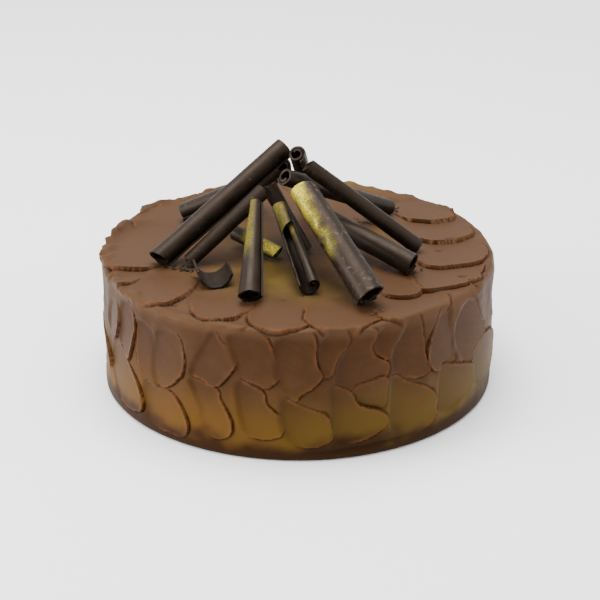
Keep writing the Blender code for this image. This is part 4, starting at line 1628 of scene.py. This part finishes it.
@dataclass
class Crumbs:
    """Small broken bits, each an octahedron with split edges whose corners are moved by noise."""

    name: str
    slot: Slot
    patches: tuple[CrumbPatch, ...]
    seed: int
    flatness: float = 0.55

    CREASE = 35.0

    def bit(self) -> tuple[Array, Array]:
        """Split each face of an octahedron in four.

        Returns:
            Corners on a ball of radius 1, and triangles.
        """
        tips = np.vstack((np.eye(3), -np.eye(3)))
        points, triangles = [], []
        for a, b, c in [(a, b, c) for a in (0, 3) for b in (1, 4) for c in (2, 5)]:
            corners = tips[[a, b, c]]
            if np.linalg.det(corners) < 0.0:
                corners = corners[::-1]
            middles = corners + np.roll(corners, -1, axis=0)
            middles = middles / np.linalg.norm(middles, axis=1)[:, None]
            k = len(points) * 6
            points.append(np.vstack((corners, middles)))
            triangles += [(k, k + 3, k + 5), (k + 1, k + 4, k + 3), (k + 2, k + 5, k + 4),
                          (k + 3, k + 4, k + 5)]
        stacked = np.vstack(points)
        unique, index = np.unique(np.round(stacked, 6), axis=0, return_inverse=True)
        return unique, index.ravel()[np.array(triangles)]

    def build(self, cake: FrostedCake, material: Material) -> Piece:
        """Scatter the bits over the patches, sunk a little into the frosting.

        Args:
            cake: The cake that carries them.
            material: Their finish.

        Returns:
            All the bits as one piece.
        """
        draw = np.random.default_rng(self.seed)
        shape, triangles = self.bit()
        points, faces = [], []
        for patch in self.patches:
            spread = draw.uniform(-1.0, 1.0, (patch.count, 2)) * (patch.reach_x, patch.reach_y)
            x, y = (patch.x + spread[:, 0]) * MM, (patch.y + spread[:, 1]) * MM
            ground = cake.top_field(x, y)
            for place in np.column_stack((ground["x"], ground["y"], ground["height"])):
                size = patch.size * MM * draw.uniform(0.5, 1.3)
                turn, rough = draw.uniform(0.0, 2.0 * math.pi), draw.uniform(0.65, 1.35, (len(shape), 1))
                body = shape * rough * size * (draw.uniform(0.8, 1.9), 1.0, self.flatness)
                body = np.column_stack((*turned(body, turn), body[:, 2] + 0.25 * size))
                faces.append(triangles + len(points) * len(shape))
                points.append(body + place)
        piece = add_object(self.name, np.vstack(points), np.empty((0, 4), int), np.vstack(faces))
        # Frosting crumbs take the painted top light all over; the chocolate finish ignores it.
        add_layer(piece, "painted_top_light", np.ones(len(piece.data.vertices)))
        piece.data.materials.append(material)
        mark_sharp(piece, self.CREASE)
        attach(piece, "root")
        LOG.info("%s: %d bits", piece.name, len(points))
        return piece


CRUMBS = (
    Crumbs("chocolate_crumbs", Slot.CHOCOLATE, (
        CrumbPatch(-59, -27, 5.5, 3.0, 13, 1.1),
        CrumbPatch(61, -25, 4.0, 4.5, 7, 0.8),
        CrumbPatch(50, 57, 6.0, 7.0, 12, 1.2),
    ), 5),
    Crumbs("frosting_crumbs", Slot.FROSTING, (
        CrumbPatch(38, 39, 7.0, 6.0, 14, 1.0),
        CrumbPatch(39, -81, 3.0, 4.0, 6, 0.9),
        CrumbPatch(88, -44, 3.0, 3.0, 5, 0.8),
    ), 6),
)


# Studio


@dataclass(frozen=True)
class SoftLight:
    """A large square lamp that faces the cake."""

    name: str
    place: Triple
    size: float
    watts: float

    def build(self, aim: Vector) -> Piece:
        """Hang the lamp and turn it to a point.

        Args:
            aim: The point.

        Returns:
            The lamp.
        """
        data = bpy.data.lights.new(self.name, "AREA")
        data.shape = "SQUARE"
        data.size = self.size
        data.energy = self.watts
        lamp = bpy.data.objects.new(self.name, data)
        bpy.context.scene.collection.objects.link(lamp)
        lamp.location = self.place
        lamp.rotation_euler = (aim - Vector(self.place)).to_track_quat("-Z", "Y").to_euler()
        return lamp


@dataclass
class Studio:
    """Pale floor, soft light and a camera at the photo's viewing angle."""

    elevation: float = 24.33
    distance: float = 1.05
    aim_height: float = 0.0411
    side_step: float = 0.0011
    lens: float = 117.84
    sensor: float = 36.0
    sky: float = 1.25
    floor_radius: float = 12.0
    floor_drop: float = 0.0002
    lights: tuple[SoftLight, ...] = (
        SoftLight("lamp_above", (-0.10, 0.10, 1.35), 1.0, 35.0),
        SoftLight("lamp_left", (-1.3, -0.35, 0.5), 0.7, 24.0),
        SoftLight("lamp_right", (1.3, -0.30, 0.5), 0.7, 6.0),
    )

    def build(self) -> None:
        """Lay the floor, light the scene and place the camera."""
        aim = Vector((0.0, 0.0, self.aim_height))
        for light in self.lights:
            light.build(aim)
        world = bpy.data.worlds.new("soft_sky")
        world.use_nodes = True
        Shading(world.node_tree).fill(world.node_tree.nodes["Background"], Color=(1.0, 1.0, 1.0, 1.0),
                                      Strength=self.sky)
        bpy.context.scene.world = world
        self.floor()
        self.camera(aim)

    def floor(self) -> None:
        """A wide floor disc, just under the cake."""
        rings = np.concatenate(([0.0], np.geomspace(0.2, self.floor_radius, 12)))
        angles = np.linspace(0.0, 2.0 * math.pi, 64, endpoint=False)
        points = np.stack((np.outer(rings, np.cos(angles)), np.outer(rings, np.sin(angles)),
                           np.full((len(rings), len(angles)), -self.floor_drop)), -1).reshape(-1, 3)
        floor = add_object("pale_floor", points, grid_faces(len(rings), len(angles), True))
        floor.data.materials.append(FloorFinish().make())

    def camera(self, aim: Vector) -> None:
        """Place the camera in front of the cake, looking down at the photo's angle.

        Args:
            aim: Point that it looks at.
        """
        data = bpy.data.cameras.new("camera")
        data.sensor_width = self.sensor
        data.lens = self.lens
        data.clip_end = 50.0
        camera = bpy.data.objects.new("camera", data)
        bpy.context.scene.collection.objects.link(camera)
        tilt = math.radians(self.elevation)
        camera.location = (self.side_step, -math.cos(tilt) * self.distance,
                           aim.z + math.sin(tilt) * self.distance)
        camera.rotation_euler = (0.5 * math.pi - tilt, 0.0, 0.0)
        bpy.context.scene.camera = camera


def main() -> None:
    """Build every piece and report it."""
    logging.basicConfig(level=logging.INFO, format="%(name)s: %(message)s")
    Studio().build()
    pile = CurlPile()
    curls = pile.build()
    cake = FrostedCake(pile)
    dressed = cake.dress()
    finishes = {Slot.CHOCOLATE: curls[0].data.materials[0], Slot.FROSTING: dressed.data.materials[0]}
    for crumbs in CRUMBS:
        crumbs.build(cake, finishes[crumbs.slot])


if __name__ == "__main__":
    main()
